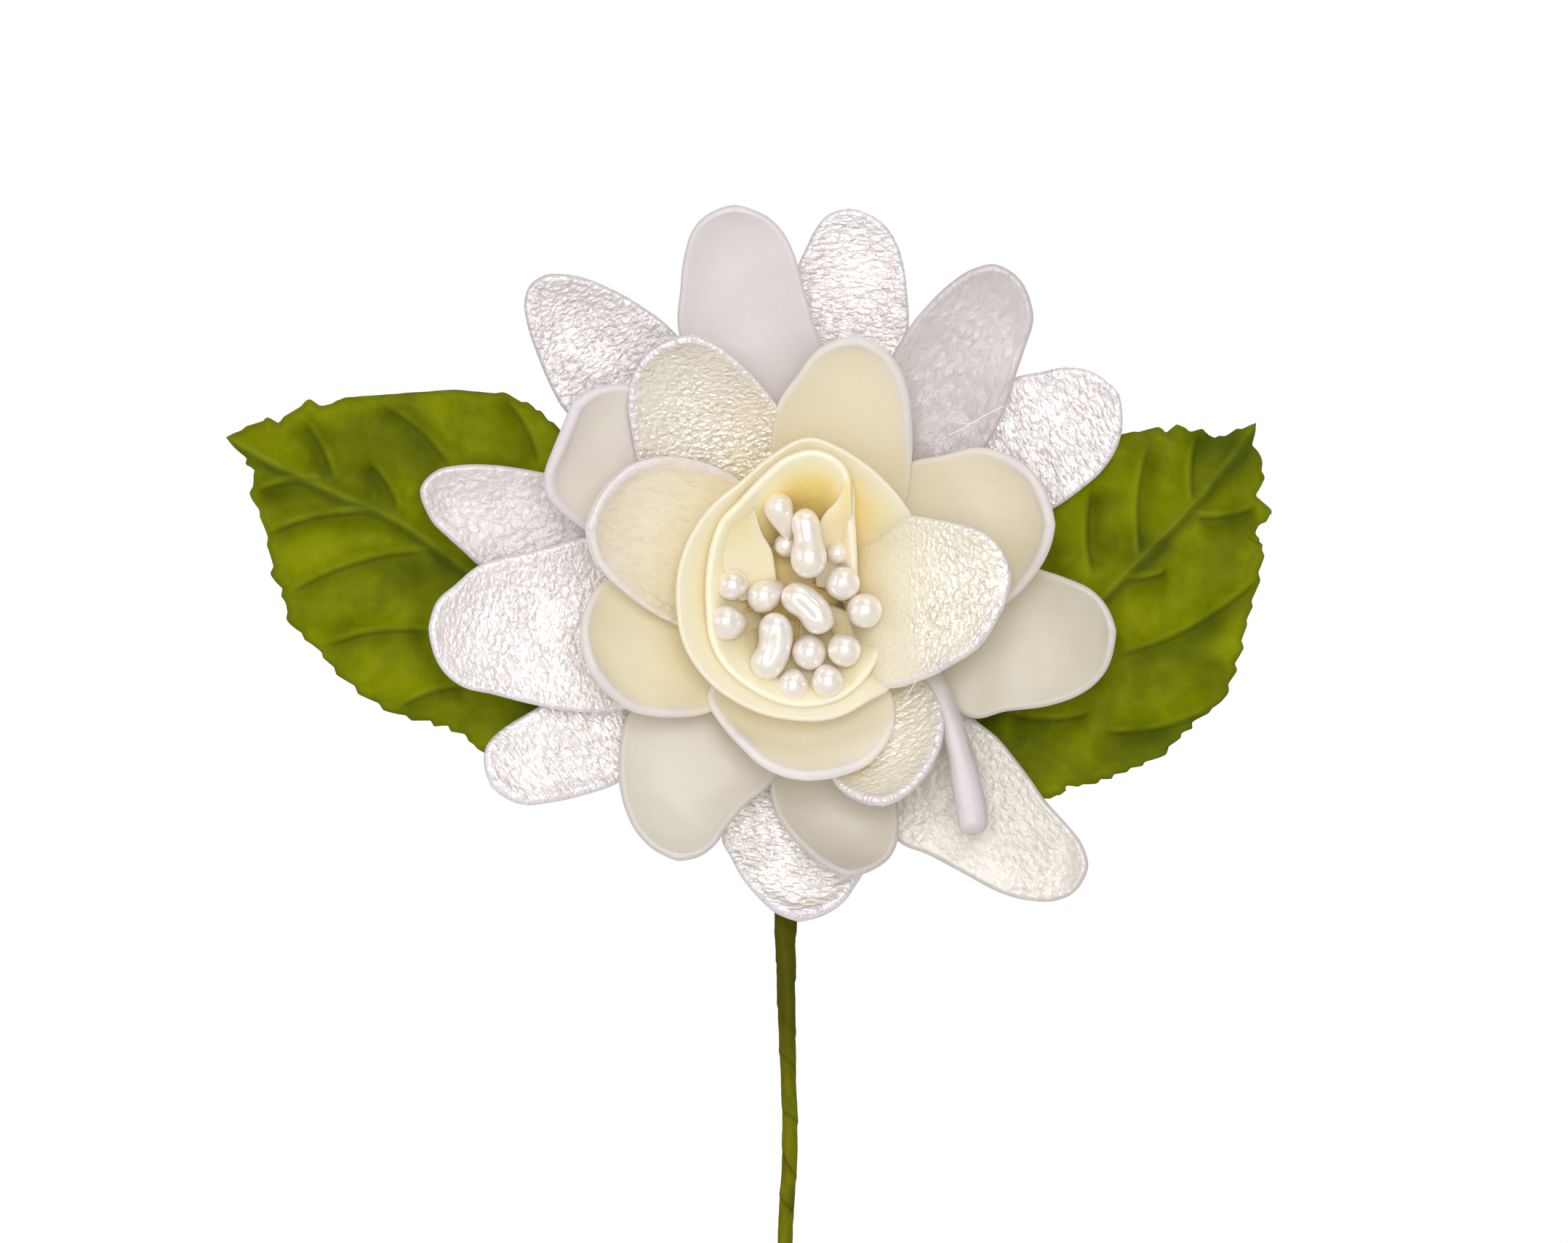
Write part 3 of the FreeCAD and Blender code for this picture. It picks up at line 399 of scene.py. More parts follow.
MAT_PEARL = pearl_material()
MAT_LEAF = leaf_material()
MAT_TAPE = tape_material()
MAT_THREAD = simple_material("stamen_thread", srgb(226, 206, 140), 0.6, bump_scale=3000.0)
MAT_GLUE = simple_material("hot_melt_glue", srgb(226, 222, 206), 0.26, bump_scale=260.0, bump_strength=0.35, distance=0.0002, coat=0.6, vary=0.05, sub=0.45)
MAT_FELT = simple_material("pressed_felt", srgb(232, 230, 222), 0.92, bump_scale=2600.0, bump_strength=0.9, distance=0.00016, vary=0.10)
MAT_WIRE = simple_material("paper_covered_wire", srgb(98, 108, 40), 0.66, bump_scale=1800.0, bump_strength=0.4, vary=0.18, stretch=(1, 1, 0.4))
MAT_STEEL = simple_material("nickel_plate", srgb(196, 196, 198), 0.30, metallic=1.0, bump_scale=900.0, bump_strength=0.10, vary=0.06, stretch=(0.12, 1, 1))
MAT_PIN = simple_material("nickel_pin", srgb(186, 186, 190), 0.26, metallic=1.0, bump_scale=1500.0, bump_strength=0.08, vary=0.05)
MAT_SPRING = simple_material("spring_wire", srgb(150, 150, 156), 0.28, metallic=1.0, bump_scale=2500.0, bump_strength=0.12, vary=0.08)

floor_mesh = bpy.data.meshes.new("floor")
floor_mesh.from_pydata([(-1.2, -1.2, -0.0835), (1.2, -1.2, -0.0835), (1.2, 0.30, -0.0835), (-1.2, 0.30, -0.0835)], [], [(0, 1, 2, 3)])
floor = bpy.data.objects.new("floor", floor_mesh)
scene.collection.objects.link(floor)
floor.data.materials.append(simple_material("pale_floor", srgb(238, 238, 236), 0.75, bump_scale=40.0, bump_strength=0.02, vary=0.01))


# ---------------------------------------------------------------- shape helpers
def spline(points, n_per=12):
    """Dense smooth curve (centripetal Catmull-Rom) through 2-D or 3-D points."""
    p = np.array(points, float)
    p = np.vstack([2 * p[0] - p[1], p, 2 * p[-1] - p[-2]])
    out, marks = [], [0]
    for i in range(1, len(p) - 2):
        p0, p1, p2, p3 = p[i - 1], p[i], p[i + 1], p[i + 2]
        t0 = 0.0
        t1 = t0 + max(np.linalg.norm(p1 - p0), 1e-6) ** 0.5
        t2 = t1 + max(np.linalg.norm(p2 - p1), 1e-6) ** 0.5
        t3 = t2 + max(np.linalg.norm(p3 - p2), 1e-6) ** 0.5
        for k in range(n_per):
            t = t1 + (t2 - t1) * k / n_per
            a1 = (t1 - t) / (t1 - t0) * p0 + (t - t0) / (t1 - t0) * p1
            a2 = (t2 - t) / (t2 - t1) * p1 + (t - t1) / (t2 - t1) * p2
            a3 = (t3 - t) / (t3 - t2) * p2 + (t - t2) / (t3 - t2) * p3
            b1 = (t2 - t) / (t2 - t0) * a1 + (t - t0) / (t2 - t0) * a2
            b2 = (t3 - t) / (t3 - t1) * a2 + (t - t1) / (t3 - t1) * a3
            out.append((t2 - t) / (t2 - t1) * b1 + (t - t1) / (t2 - t1) * b2)
        marks.append(len(out))
    out.append(p[-2])
    return np.array(out), marks


def by_length(curve, us):
    """Points of a dense curve at fractions us of its length."""
    seg = np.linalg.norm(np.diff(curve, axis=0), axis=1)
    s = np.concatenate([[0], np.cumsum(seg)])
    s /= s[-1]
    return np.stack([np.interp(us, s, curve[:, k]) for k in range(curve.shape[1])], axis=1)


def smooth_list(values, t):
    """Smooth value of a list of numbers at 0..1 (array)."""
    v = np.array(values, float)
    n = len(v) - 1
    f = np.clip(t, 0, 1) * n
    i = np.minimum(f.astype(int), n - 1)
    f = f - i
    e = np.concatenate([[2 * v[0] - v[1]], v, [2 * v[-1] - v[-2]]])
    p0, p1, p2, p3 = e[i], e[i + 1], e[i + 2], e[i + 3]
    return 0.5 * (2 * p1 + (p2 - p0) * f + (2 * p0 - 5 * p1 + 4 * p2 - p3) * f ** 2 + (3 * p1 - p0 - 3 * p2 + p3) * f ** 3)


def smoothstep(a, b, x):
    t = np.clip((x - a) / (b - a), 0, 1)
    return t * t * (3 - 2 * t)


def on_sight_line(mid):
    """Move measured points (x, z as seen on the plane y = -12) to their own depth along the line of sight."""
    k = (912.0 + mid[..., 1]) / 900.0
    out = mid.copy()
    out[..., 0] = -1.52 + (mid[..., 0] + 1.52) * k
    out[..., 2] = -3.9 + (mid[..., 2] + 3.9) * k
    return out


def field(points, size, seed):
    """Smooth noise, about -1..1, at points in mm."""
    off = Vector((seed * 17.3, seed * 5.1, seed * 9.7))
    return np.array([noise.noise(Vector(p) / size + off) for p in points])


def grid_normals(g):
    du = np.gradient(g, axis=0)
    dv = np.gradient(g, axis=1)
    n = np.cross(du, dv)
    ln = np.linalg.norm(n, axis=2, keepdims=True)
    bad = ln[..., 0] < 1e-9
    n = n / np.maximum(ln, 1e-9)
    if bad.any():
        mean = n[~bad].mean(axis=0)
        n[bad] = mean / np.linalg.norm(mean)
    return n


def add_object(name, verts, faces, mat, uvs=None, attrs=None, smooth=True, body="flower"):
    me = bpy.data.meshes.new(name)
    me.from_pydata([tuple(v) for v in verts], [], faces)
    me.validate()
    if smooth:
        me.polygons.foreach_set("use_smooth", [True] * len(me.polygons))
    if uvs is not None:
        layer = me.uv_layers.new(name="UVMap")
        idx = np.empty(len(me.loops), dtype=np.int32)
        me.loops.foreach_get("vertex_index", idx)
        layer.data.foreach_set("uv", np.array(uvs)[idx].astype(np.float32).ravel())
    for key, values in (attrs or {}).items():
        at = me.attributes.new(key, "FLOAT", "POINT")
        at.data.foreach_set("value", np.array(values, dtype=np.float32))
    me.materials.append(mat)
    ob = bpy.data.objects.new(name, me)
    scene.collection.objects.link(ob)
    if body:
        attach(ob, body)
    return ob


def shell(name, mid, front_dir, thick, edge_dist, rim, mat, uv, attrs, pole=False):
    """Closed sheet round a grid of middle points: thick inside, a rounded rim of its own
    diameter along the boundary, where front and back share their vertices."""
    nu, nv = mid.shape[:2]
    n = grid_normals(mid)
    if (n * np.array(front_dir)).sum() < 0:
        n = -n
    if pole:
        k0 = nu - max(6, nu // 9)
        steady = n[k0 - 2:k0, :].mean(axis=0)
        steady = steady * 0.5 + steady.mean(axis=0) * 0.5
        steady /= np.linalg.norm(steady, axis=1, keepdims=True)
        mixv = smoothstep(k0 - nu // 10, k0, np.arange(nu, dtype=float))[:, None, None]
        n = n * (1 - mixv) + steady[None, :, :] * mixv
        n /= np.linalg.norm(n, axis=2, keepdims=True)
    r = rim / 2.0
    d = edge_dist
    inside = np.sqrt(np.clip(1.0 - (1.0 - np.clip(d / r, 0, 1)) ** 2, 0, 1)) * r
    k = smoothstep(r, r + 1.1, d)
    half = inside * (1 - k) + (thick / 2.0) * k
    boundary = np.zeros((nu, nv), bool)
    boundary[0, :] = boundary[-1, :] = True
    boundary[:, 0] = boundary[:, -1] = True
    half = np.where(boundary, 0.0, np.maximum(half, 0.02))
    front = mid + n * half[..., None]
    back = mid - n * half[..., None]
    verts = list(front.reshape(-1, 3))
    index_f = np.arange(nu * nv).reshape(nu, nv)
    index_b = index_f.copy()
    extra = np.argwhere(~boundary)
    for i, j in extra:
        index_b[i, j] = len(verts)
        verts.append(back[i, j])
    faces = []
    for i in range(nu - 1):
        for j in range(nv - 1):
            faces.append((int(index_f[i, j]), int(index_f[i + 1, j]), int(index_f[i + 1, j + 1]), int(index_f[i, j + 1])))
            q = (int(index_b[i, j + 1]), int(index_b[i + 1, j + 1]), int(index_b[i + 1, j]), int(index_b[i, j]))
            faces.append(q)
    uvs = [tuple(q) for q in uv.reshape(-1, 2)]
    uvs += [(uv[i, j][0] + 3.1, uv[i, j][1]) for i, j in extra]
    at = {}
    for key, val in attrs.items():
        at[key] = list(val.reshape(-1)) + [val[i, j] for i, j in extra]
    ob = add_object(name, np.array(verts) * MM, faces, mat, uvs, at)
    # one surface: merge the points that meet at the tip, and turn the faces outwards
    bm = bmesh.new()
    bm.from_mesh(ob.data)
    bmesh.ops.remove_doubles(bm, verts=bm.verts, dist=2e-6)
    bmesh.ops.dissolve_degenerate(bm, dist=1e-6, edges=bm.edges)
    bmesh.ops.recalc_face_normals(bm, faces=bm.faces)
    bm.to_mesh(ob.data)
    bm.free()
    return ob


def distance_to(points, curve):
    """Shortest distance of each grid point to a polyline."""
    shape = points.shape[:2]
    flat = points.reshape(-1, points.shape[2])
    best = np.full(len(flat), 1e18)
    for a, b in zip(curve[:-1], curve[1:]):
        ab = b - a
        ll = float(ab @ ab)
        ap = flat - a
        if ll < 1e-14:
            dd = (ap * ap).sum(axis=1)
        else:
            t = np.clip(ap @ ab / ll, 0, 1)
            off = ap - t[:, None] * ab
            dd = (off * off).sum(axis=1)
        np.minimum(best, dd, out=best)
    return np.sqrt(best).reshape(shape)


# ---------------------------------------------------------------- measured outlines (mm: x, z)
PETALS = {
    "outer_petal_01": dict(
        a=[(-2.02, 4.17), (-5.22, 11.26), (-9.8, 18.12), (-11.58, 24.07), (-11.35, 27.5), (-11.03, 30.47), (-10.16, 33.22), (-8.65, 34.73), (-6.23, 35.41)],
        b=[(0.04, 4.17), (1.64, 11.26), (2.74, 17.21), (2.19, 21.78), (1.41, 24.07), (0.49, 27.27), (-0.56, 30.93), (-1.75, 33.22), (-3.49, 34.68), (-6.23, 35.41)],
        y=[-7.4, -8.0, -9.3, -10.7, -12.3], cup=0.7, kind='smooth', warm=0.0),
    "outer_petal_02": dict(
        a=[(-0.65, 4.17), (0.27, 10.35), (0.17, 17.21), (-0.28, 22.7), (-0.38, 27.27), (-0.19, 29.79), (0.54, 31.39), (1.45, 33.22), (2.64, 34.59), (4.61, 35.05)],
        b=[(1.27, 4.17), (3.24, 10.35), (6.9, 17.21), (9.87, 21.78), (10.33, 24.53), (10.19, 26.81), (9.87, 29.56), (9.32, 31.62), (8.27, 33.45), (6.67, 34.64), (4.61, 35.05)],
        y=[-5.7, -6.0, -6.7, -7.6, -9.0], cup=0.5, kind='pebbled', warm=0.0),
    "outer_petal_03": dict(
        a=[(1.18, 3.71), (3.01, 8.52), (5.75, 14.92), (8.5, 20.87), (10.56, 24.25), (12.16, 26.13), (13.99, 27.91), (16.18, 29.38), (18.33, 29.83)],
        b=[(2.46, 2.8), (8.96, 5.77), (14.45, 9.43), (17.88, 13.09), (19.48, 16.52), (20.48, 19.5), (21.31, 22.01), (22.08, 24.53), (21.86, 26.36), (21.08, 28.19), (19.93, 29.28), (18.33, 29.83)],
        y=[-7.4, -8.0, -9.3, -10.7, -12.3], cup=0.9, kind='wrinkled', warm=0.0),
    "outer_petal_04": dict(
        a=[(2.55, 3.71), (8.5, 8.52), (13.99, 14.01), (17.65, 17.67), (20.48, 19.27), (22.68, 19.72), (25.19, 20.18), (27.48, 19.86), (28.99, 18.95), (30.09, 17.67)],
        b=[(3.01, 1.66), (9.41, 2.11), (16.73, 3.94), (21.76, 5.77), (24.28, 6.92), (26.43, 8.43), (28.63, 10.35), (30.09, 12.63), (30.55, 14.92), (30.09, 17.67)],
        y=[-5.7, -6.0, -6.7, -7.6, -9.0], cup=0.5, kind='pebbled', warm=0.0, slit=True),
    "outer_petal_05": dict(
        a=[(3.24, 1.2), (10.79, 2.34), (17.65, 2.57), (22.68, 1.06), (25.06, 0.28), (27.62, -0.91), (29.08, -2.55), (29.72, -4.75)],
        b=[(2.92, -1.09), (8.5, -6.12), (12.16, -10.24), (16.37, -13.07), (19.48, -12.43), (23.14, -11.98), (26.25, -10.97), (28.26, -9.51), (29.36, -7.72), (29.72, -4.75)],
        y=[-7.4, -8.0, -9.3, -10.7, -12.3], cup=0.9, kind='smooth', warm=0.45),
    "outer_petal_06": dict(
        a=[(2.09, -1.77), (8.5, -6.12), (13.07, -9.78), (16.64, -13.21), (18.65, -14.81), (20.21, -16.64), (21.76, -18.7), (23.36, -20.99), (25.24, -23.04), (26.7, -24.97), (27.25, -27.16)],
        b=[(0.72, -2.92), (3.01, -10.24), (5.98, -18.01), (9.18, -24.65), (12.16, -26.02), (15.36, -27.71), (19.02, -29.63), (21.76, -30.36), (24.28, -30.36), (26.11, -29.45), (27.25, -27.16)],
        y=[-5.7, -5.9, -6.4, -7.4, -8.6], cup=0.5, kind='smooth_pebbled', warm=0.25),
    "outer_petal_07": dict(
        a=[(-0.51, -3.6), (-1.79, -10.24), (-2.85, -16.18), (-2.85, -19.84), (-2.25, -22.13), (-1.02, -24.05), (0.81, -25.88), (2.55, -27.16), (4.61, -27.94)],
        b=[(1.41, -3.38), (4.84, -9.32), (7.81, -15.27), (9.14, -20.3), (9.37, -23.04), (9.18, -24.87), (8.41, -26.34), (6.67, -27.48), (4.61, -27.94)],
        y=[-7.4, -8.0, -9.0, -10.4, -12.2], cup=1.0, kind='smooth', warm=0.35),
    "outer_petal_08": dict(
        a=[(-1.34, -3.83), (-3.39, -10.24), (-5.68, -17.56), (-7.42, -24.51), (-6.69, -26.02), (-5.5, -28.17), (-3.85, -30.13), (-2.2, -31.51), (-0.1, -32.1)],
        b=[(0.49, -3.83), (2.09, -10.24), (4.15, -18.47), (6.21, -26.25), (5.98, -27.71), (5.21, -28.99), (4.15, -30.45), (2.32, -31.64), (-0.1, -32.1)],
        y=[-5.7, -5.9, -6.4, -7.4, -8.8], cup=0.6, kind='pebbled', warm=0.1, lip=1.1),
    "outer_petal_09": dict(
        a=[(-2.94, -2.46), (-8.88, -6.58), (-13.46, -10.24), (-16.34, -12.75), (-17.07, -15.5), (-17.16, -18.93), (-16.57, -21.67), (-15.42, -23.96), (-13.64, -25.61), (-11.49, -26.38)],
        b=[(-1.11, -3.6), (-0.65, -10.24), (-1.34, -15.73), (-2.39, -18.84), (-5.13, -21.31), (-7.14, -23.73), (-7.97, -24.97), (-9.52, -26.11), (-11.49, -26.38)],
        y=[-7.4, -8.0, -9.3, -10.7, -12.3], cup=0.8, kind='smooth', warm=0.3),
    "outer_petal_10": dict(
        a=[(-3.03, -1.32), (-12.54, -5.21), (-19.86, -9.32), (-25.94, -12.66), (-28.46, -14.26), (-29.74, -15.73), (-29.88, -17.65), (-29.01, -19.48)],
        b=[(-2.11, -2.92), (-7.97, -11.15), (-12.54, -15.73), (-17.25, -19.2), (-20.32, -20.3), (-23.52, -21.03), (-26.04, -21.26), (-27.73, -20.67), (-29.01, -19.48)],
        y=[-5.7, -6.0, -6.7, -7.6, -9.0], cup=0.5, kind='pebbled', warm=0.1, lip=1.1),
    "outer_petal_11": dict(
        a=[(-3.49, 1.2), (-11.63, 3.26), (-18.95, 4.31), (-25.26, 2.8), (-30.38, 1.43), (-32.67, -0.4), (-34.41, -2.0), (-35.0, -4.52)],
        b=[(-3.3, -0.86), (-8.88, -7.04), (-13.91, -11.38), (-17.12, -12.39), (-21.69, -12.43), (-26.04, -11.61), (-29.01, -10.83), (-31.85, -10.15), (-33.67, -8.77), (-34.64, -7.04), (-35.0, -4.52)],
        y=[-7.4, -8.0, -9.3, -10.7, -12.3], cup=0.9, kind='pebbled_soft', warm=0.0),
    "outer_petal_12": dict(
        a=[(-3.3, 2.11), (-11.63, 6.69), (-18.95, 9.34), (-23.98, 10.16), (-26.26, 10.58), (-29.01, 10.94), (-32.21, 10.94), (-34.59, 10.35), (-35.96, 8.61)],
        b=[(-3.49, 0.19), (-11.63, -1.09), (-18.95, -1.55), (-25.81, -0.63), (-30.47, 1.43), (-31.75, 2.57), (-33.35, 4.03), (-34.96, 5.68), (-35.96, 8.61)],
        y=[-5.7, -6.0, -6.7, -7.6, -9.0], cup=0.5, kind='smooth_pebbled', warm=0.05),
    "outer_petal_13": dict(
        a=[(-2.39, 1.88), (-9.8, 6.69), (-16.66, 11.49), (-22.15, 15.93), (-23.52, 18.12), (-24.8, 21.1), (-25.81, 24.07), (-26.13, 26.45), (-25.53, 28.05), (-23.98, 28.83)],
        b=[(-1.11, 3.12), (-4.31, 10.35), (-7.51, 16.29), (-9.8, 20.87), (-12.31, 23.98), (-14.83, 25.9), (-17.57, 27.5), (-20.55, 28.69), (-22.38, 28.96), (-23.98, 28.83)],
        y=[-5.7, -6.0, -6.7, -7.6, -9.0], cup=0.5, kind='pebbled_soft', warm=0.0),
    "outer_petal_14": dict(
        a=[(-3.39, 2.34), (-9.8, 1.88), (-15.29, 2.8), (-19.63, 4.4), (-22.24, 6.14), (-23.98, 8.15), (-24.11, 9.98), (-23.38, 11.95), (-22.33, 14.33), (-21.23, 16.66)],
        b=[(-2.25, 3.39), (-4.31, 8.52), (-7.51, 12.86), (-11.17, 16.29), (-13.91, 17.76), (-15.74, 18.4), (-17.57, 18.49), (-19.63, 17.94), (-21.23, 16.66)],
        y=[-7.6, -8.6, -11.0, -14.2, -17.0], cup=1.8, kind='smooth', warm=0.15, rim=1.15),
    "middle_petal_01": dict(
        a=[(-3.17, 2.8), (-7.97, 5.54), (-12.54, 8.06), (-15.1, 10.71), (-15.97, 14.01), (-16.34, 17.21), (-15.74, 19.72), (-14.37, 21.6), (-12.54, 22.61), (-10.26, 23.06)],
        b=[(-1.34, 3.85), (-0.65, 8.52), (-0.65, 12.18), (-1.79, 15.84), (-3.49, 18.35), (-5.59, 20.5), (-7.28, 21.92), (-8.79, 22.7), (-10.26, 23.06)],
        y=[-9.2, -10.0, -12.6, -15.6, -18.6], cup=1.5, kind='pebbled_gold', warm=0.3, rim=0.95),
    "middle_petal_02": dict(
        a=[(-0.65, 4.03), (-2.25, 8.52), (-2.85, 13.09), (-2.2, 16.52), (-0.28, 19.4), (1.41, 21.55), (3.24, 22.61), (5.53, 22.83)],
        b=[(1.64, 4.17), (6.67, 4.4), (9.87, 7.14), (10.6, 11.72), (10.51, 15.84), (10.15, 18.12), (9.32, 20.18), (7.95, 21.78), (5.53, 22.83)],
        y=[-9.2, -10.0, -12.6, -15.6, -18.6], cup=1.6, kind='smooth', warm=0.5, rim=1.05),
    "middle_petal_03": dict(
        a=[(2.19, 2.57), (5.75, 7.14), (8.5, 10.12), (10.56, 11.26), (13.53, 11.86), (16.73, 12.59), (19.25, 12.08), (21.67, 10.58), (23.14, 8.29), (23.78, 5.32)],
        b=[(3.01, 0.51), (8.5, -1.55), (13.99, -3.38), (17.65, -3.06), (20.16, -1.64), (22.31, 0.83), (23.41, 2.94), (23.78, 5.32)],
        y=[-9.2, -9.9, -12.2, -14.8, -17.6], cup=1.7, kind='smooth', warm=0.5, rim=1.1),
    "middle_petal_05": dict(
        a=[(1.09, -3.6), (1.64, -9.32), (2.19, -14.81), (3.1, -18.93), (4.15, -20.03), (5.98, -20.94), (7.95, -21.03)],
        b=[(2.92, -2.83), (8.5, -6.35), (11.93, -8.96), (13.35, -11.61), (13.67, -13.9), (13.07, -16.41), (11.7, -18.7), (9.96, -20.3), (7.95, -21.03)],
        y=[-9.2, -9.8, -12.6, -15.4, -18.0], cup=1.5, kind='pebbled_soft', warm=0.4, rim=1.0),
    "middle_petal_06": dict(
        a=[(-3.3, 0.97), (-9.8, 1.66), (-15.74, 0.97), (-18.85, -0.27), (-20.14, -2.23), (-20.68, -4.29), (-20.41, -6.49), (-19.5, -8.5)],
        b=[(-1.93, -1.91), (-3.17, -6.58), (-5.22, -10.24), (-8.65, -12.52), (-12.18, -12.94), (-15.29, -12.52), (-17.02, -11.52), (-18.4, -10.15), (-19.5, -8.5)],
        y=[-9.2, -9.8, -12.2, -14.8, -17.6], cup=1.7, kind='smooth', warm=0.6, rim=1.0),
    "inner_petal_01": dict(
        a=[(-2.02, 3.03), (-3.76, 7.14), (-5.68, 9.43), (-8.33, 10.9), (-11.17, 11.63), (-13.91, 11.58), (-16.2, 10.8), (-18.03, 9.2), (-19.31, 7.24), (-19.95, 4.95)],
        b=[(-2.25, -0.17), (-5.22, -3.38), (-8.88, -4.98), (-12.77, -3.74), (-15.74, -1.82), (-18.03, 0.19), (-19.4, 2.02), (-19.95, 4.95)],
        y=[-10.8, -11.4, -13.6, -16.8, -19.8], cup=1.9, kind='streaked', warm=0.4, rim=1.1),
    "inner_petal_02": dict(
        a=[(-1.34, -3.6), (-5.22, -7.04), (-7.97, -9.32), (-8.79, -11.24), (-7.51, -13.53), (-5.68, -15.54), (-3.85, -17.24), (-1.79, -18.24), (0.72, -18.56)],
        b=[(1.18, -3.38), (5.3, -6.81), (8.5, -10.24), (8.96, -13.44), (8.13, -15.5), (6.58, -17.19), (4.47, -18.1), (2.78, -18.47), (0.72, -18.56)],
        y=[-10.8, -11.3, -12.8, -15.8, -19.0], cup=1.9, kind='smooth', warm=0.45, rim=1.0),
    "inner_petal_03": dict(
        a=[(4.15, 4.17), (5.07, 6.23), (7.36, 7.05), (9.87, 6.32), (12.39, 5.91), (15.36, 5.32), (17.65, 4.4), (19.29, 2.66), (19.93, 0.28)],
        b=[(4.61, -5.21), (6.21, -9.32), (8.5, -10.24), (12.16, -9.23), (14.45, -8.04), (16.96, -6.35), (18.65, -3.92), (19.66, -1.77), (19.93, 0.28)],
        y=[-11.9, -15.2, -17.9, -19.2, -18.6], cup=1.0, kind='pebbled_gold', warm=0.40, rim=1.15),
}
OUT = [(50.8, 13.37), (34.0, 13.65), (19.1, 14.14), (5.5, 14.3), (-10.0, 12.6), (-24.1, 11.35), (-45.0, 10.8), (-62.8, 10.73), (-81.3, 10.81), (-98.6, 10.95), (-116.9, 11.46), (-134.1, 11.76), (-149.9, 11.97), (-169.7, 12.25), (171.4, 12.74), (157.8, 13.01), (144.0, 12.98), (135.8, 13.31)]
INN = [(61.4, 6.83), (42.7, 8.53), (30.4, 11.06), (21.1, 12.86), (9.5, 13.27), (-2.5, 12.42), (-18.0, 10.61), (-33.2, 9.45), (-45.0, 9.26), (-59.8, 8.68), (-78.4, 8.13), (-101.5, 8.21), (-122.7, 9.08), (-140.6, 9.88), (-156.8, 10.38), (-174.3, 10.96), (170.3, 11.34), (154.7, 11.47), (140.0, 11.03), (125.8, 10.26), (112.1, 9.42)]
LEFT_UP = [(-54.45, 13.55), (-50.58, 15.26), (-49.47, 14.89), (-46.5, 17.12), (-45.23, 16.38), (-43.15, 17.34), (-32.74, 18.09), (-27.91, 17.64), (-25.31, 16.38), (-22.71, 14.14)]
LEFT_LOW = [(-51.7, 10.43), (-51.92, 8.2), (-50.96, 5.97), (-50.21, 2.99), (-49.69, 0.39), (-48.58, -1.84), (-48.5, -3.7), (-46.12, -5.93), (-43.89, -8.53), (-40.18, -11.5), (-37.95, -12.62), (-33.49, -13.73), (-30.88, -15.22), (-30.36, -15.96)]
RIGHT = [(30.94, 14.44), (31.55, 14.0), (33.89, 14.32), (34.63, 13.95), (35.74, 14.69), (36.85, 14.07), (38.08, 14.2), (39.31, 13.33), (40.79, 13.83), (43.25, 14.94), (42.88, 12.72), (43.74, 11.24), (43.5, 9.02), (43.25, 7.79), (44.73, 6.44), (43.37, 5.33), (43.25, 3.36), (43.74, 3.36), (42.02, -5.01), (41.28, -7.72), (39.8, -11.42), (37.09, -13.51), (35.37, -15.36), (33.89, -16.59), (29.95, -18.32), (27.0, -19.3), (25.02, -19.55), (24.53, -20.29), (23.3, -20.41)]
veinsL = [((-51.59, 8.6), (-45.41, 9.67)), ((-50.64, 4.57), (-39.24, 6.59)), ((-48.74, -1.13), (-35.2, 3.02)), ((-45.18, -6.0), (-35.2, -4.58)), ((-38.29, -11.94), (-31.64, -9.8)), ((-46.84, 15.14), (-43.99, 9.67)), ((-40.66, 11.34), (-37.81, 6.82)), ((-39.48, 16.8), (-33.06, 11.1)), ((-27.84, 17.51), (-24.51, 11.1))]
veinsR = [((37.09, 6.32), (43.25, 7.18)), ((30.44, 0.4), (34.88, 1.14)), ((29.95, -6.86), (43.5, 0.65)), ((28.97, -14.13), (38.82, -11.91)), ((27.49, 9.02), (27.49, 0.4)), ((32.91, 13.21), (32.17, 1.88)), ((37.46, 13.95), (37.09, 7.3)), ((19.61, -12.4), (27.49, -12.4))]

ROUND = [(-2.06, -17.2, 6.86, 1.44), (-1.36, -15.3, 3.34, 1.09), (3.57, -16.0, 2.59, 1.13), (4.04, -17.0, -0.3, 1.64), (6.12, -17.2, -2.9, 1.62), (-6.46, -16.7, -0.44, 1.41), (-3.47, -16.2, -1.58, 1.55), (-6.99, -17.0, -4.05, 1.58), (0.84, -16.6, -6.86, 1.62), (4.15, -17.2, -6.63, 1.55), (-0.66, -16.8, -10.03, 1.51), (2.6, -17.1, -9.62, 1.51)]
BEAN = [((0.45, -17.6, 5.54, 1.34), (0.8, -17.8, 1.81, 1.79)), ((-0.36, -17.2, -1.64, 1.55), (1.75, -17.4, -3.69, 1.55)), ((-2.33, -17.2, -4.57, 1.62), (-3.17, -17.0, -7.92, 1.62))]


# ---------------------------------------------------------------- petals
# where the thick rolled edge shows: from this share of the length on, along edge a and edge b
BANDS = {
    "outer_petal_14": (0.45, 0.92), "middle_petal_01": (0.45, 0.88), "middle_petal_02": (0.85, 0.50),
    "middle_petal_03": (0.66, 0.62), "middle_petal_05": (0.78, 0.50), "middle_petal_06": (0.70, 0.55),
    "inner_petal_01": (0.30, 0.86), "inner_petal_02": (0.25, 0.70), "inner_petal_03": (0.92, 0.30),
    "outer_petal_08": (0.80, 0.72), "outer_petal_10": (0.86, 0.62),
}
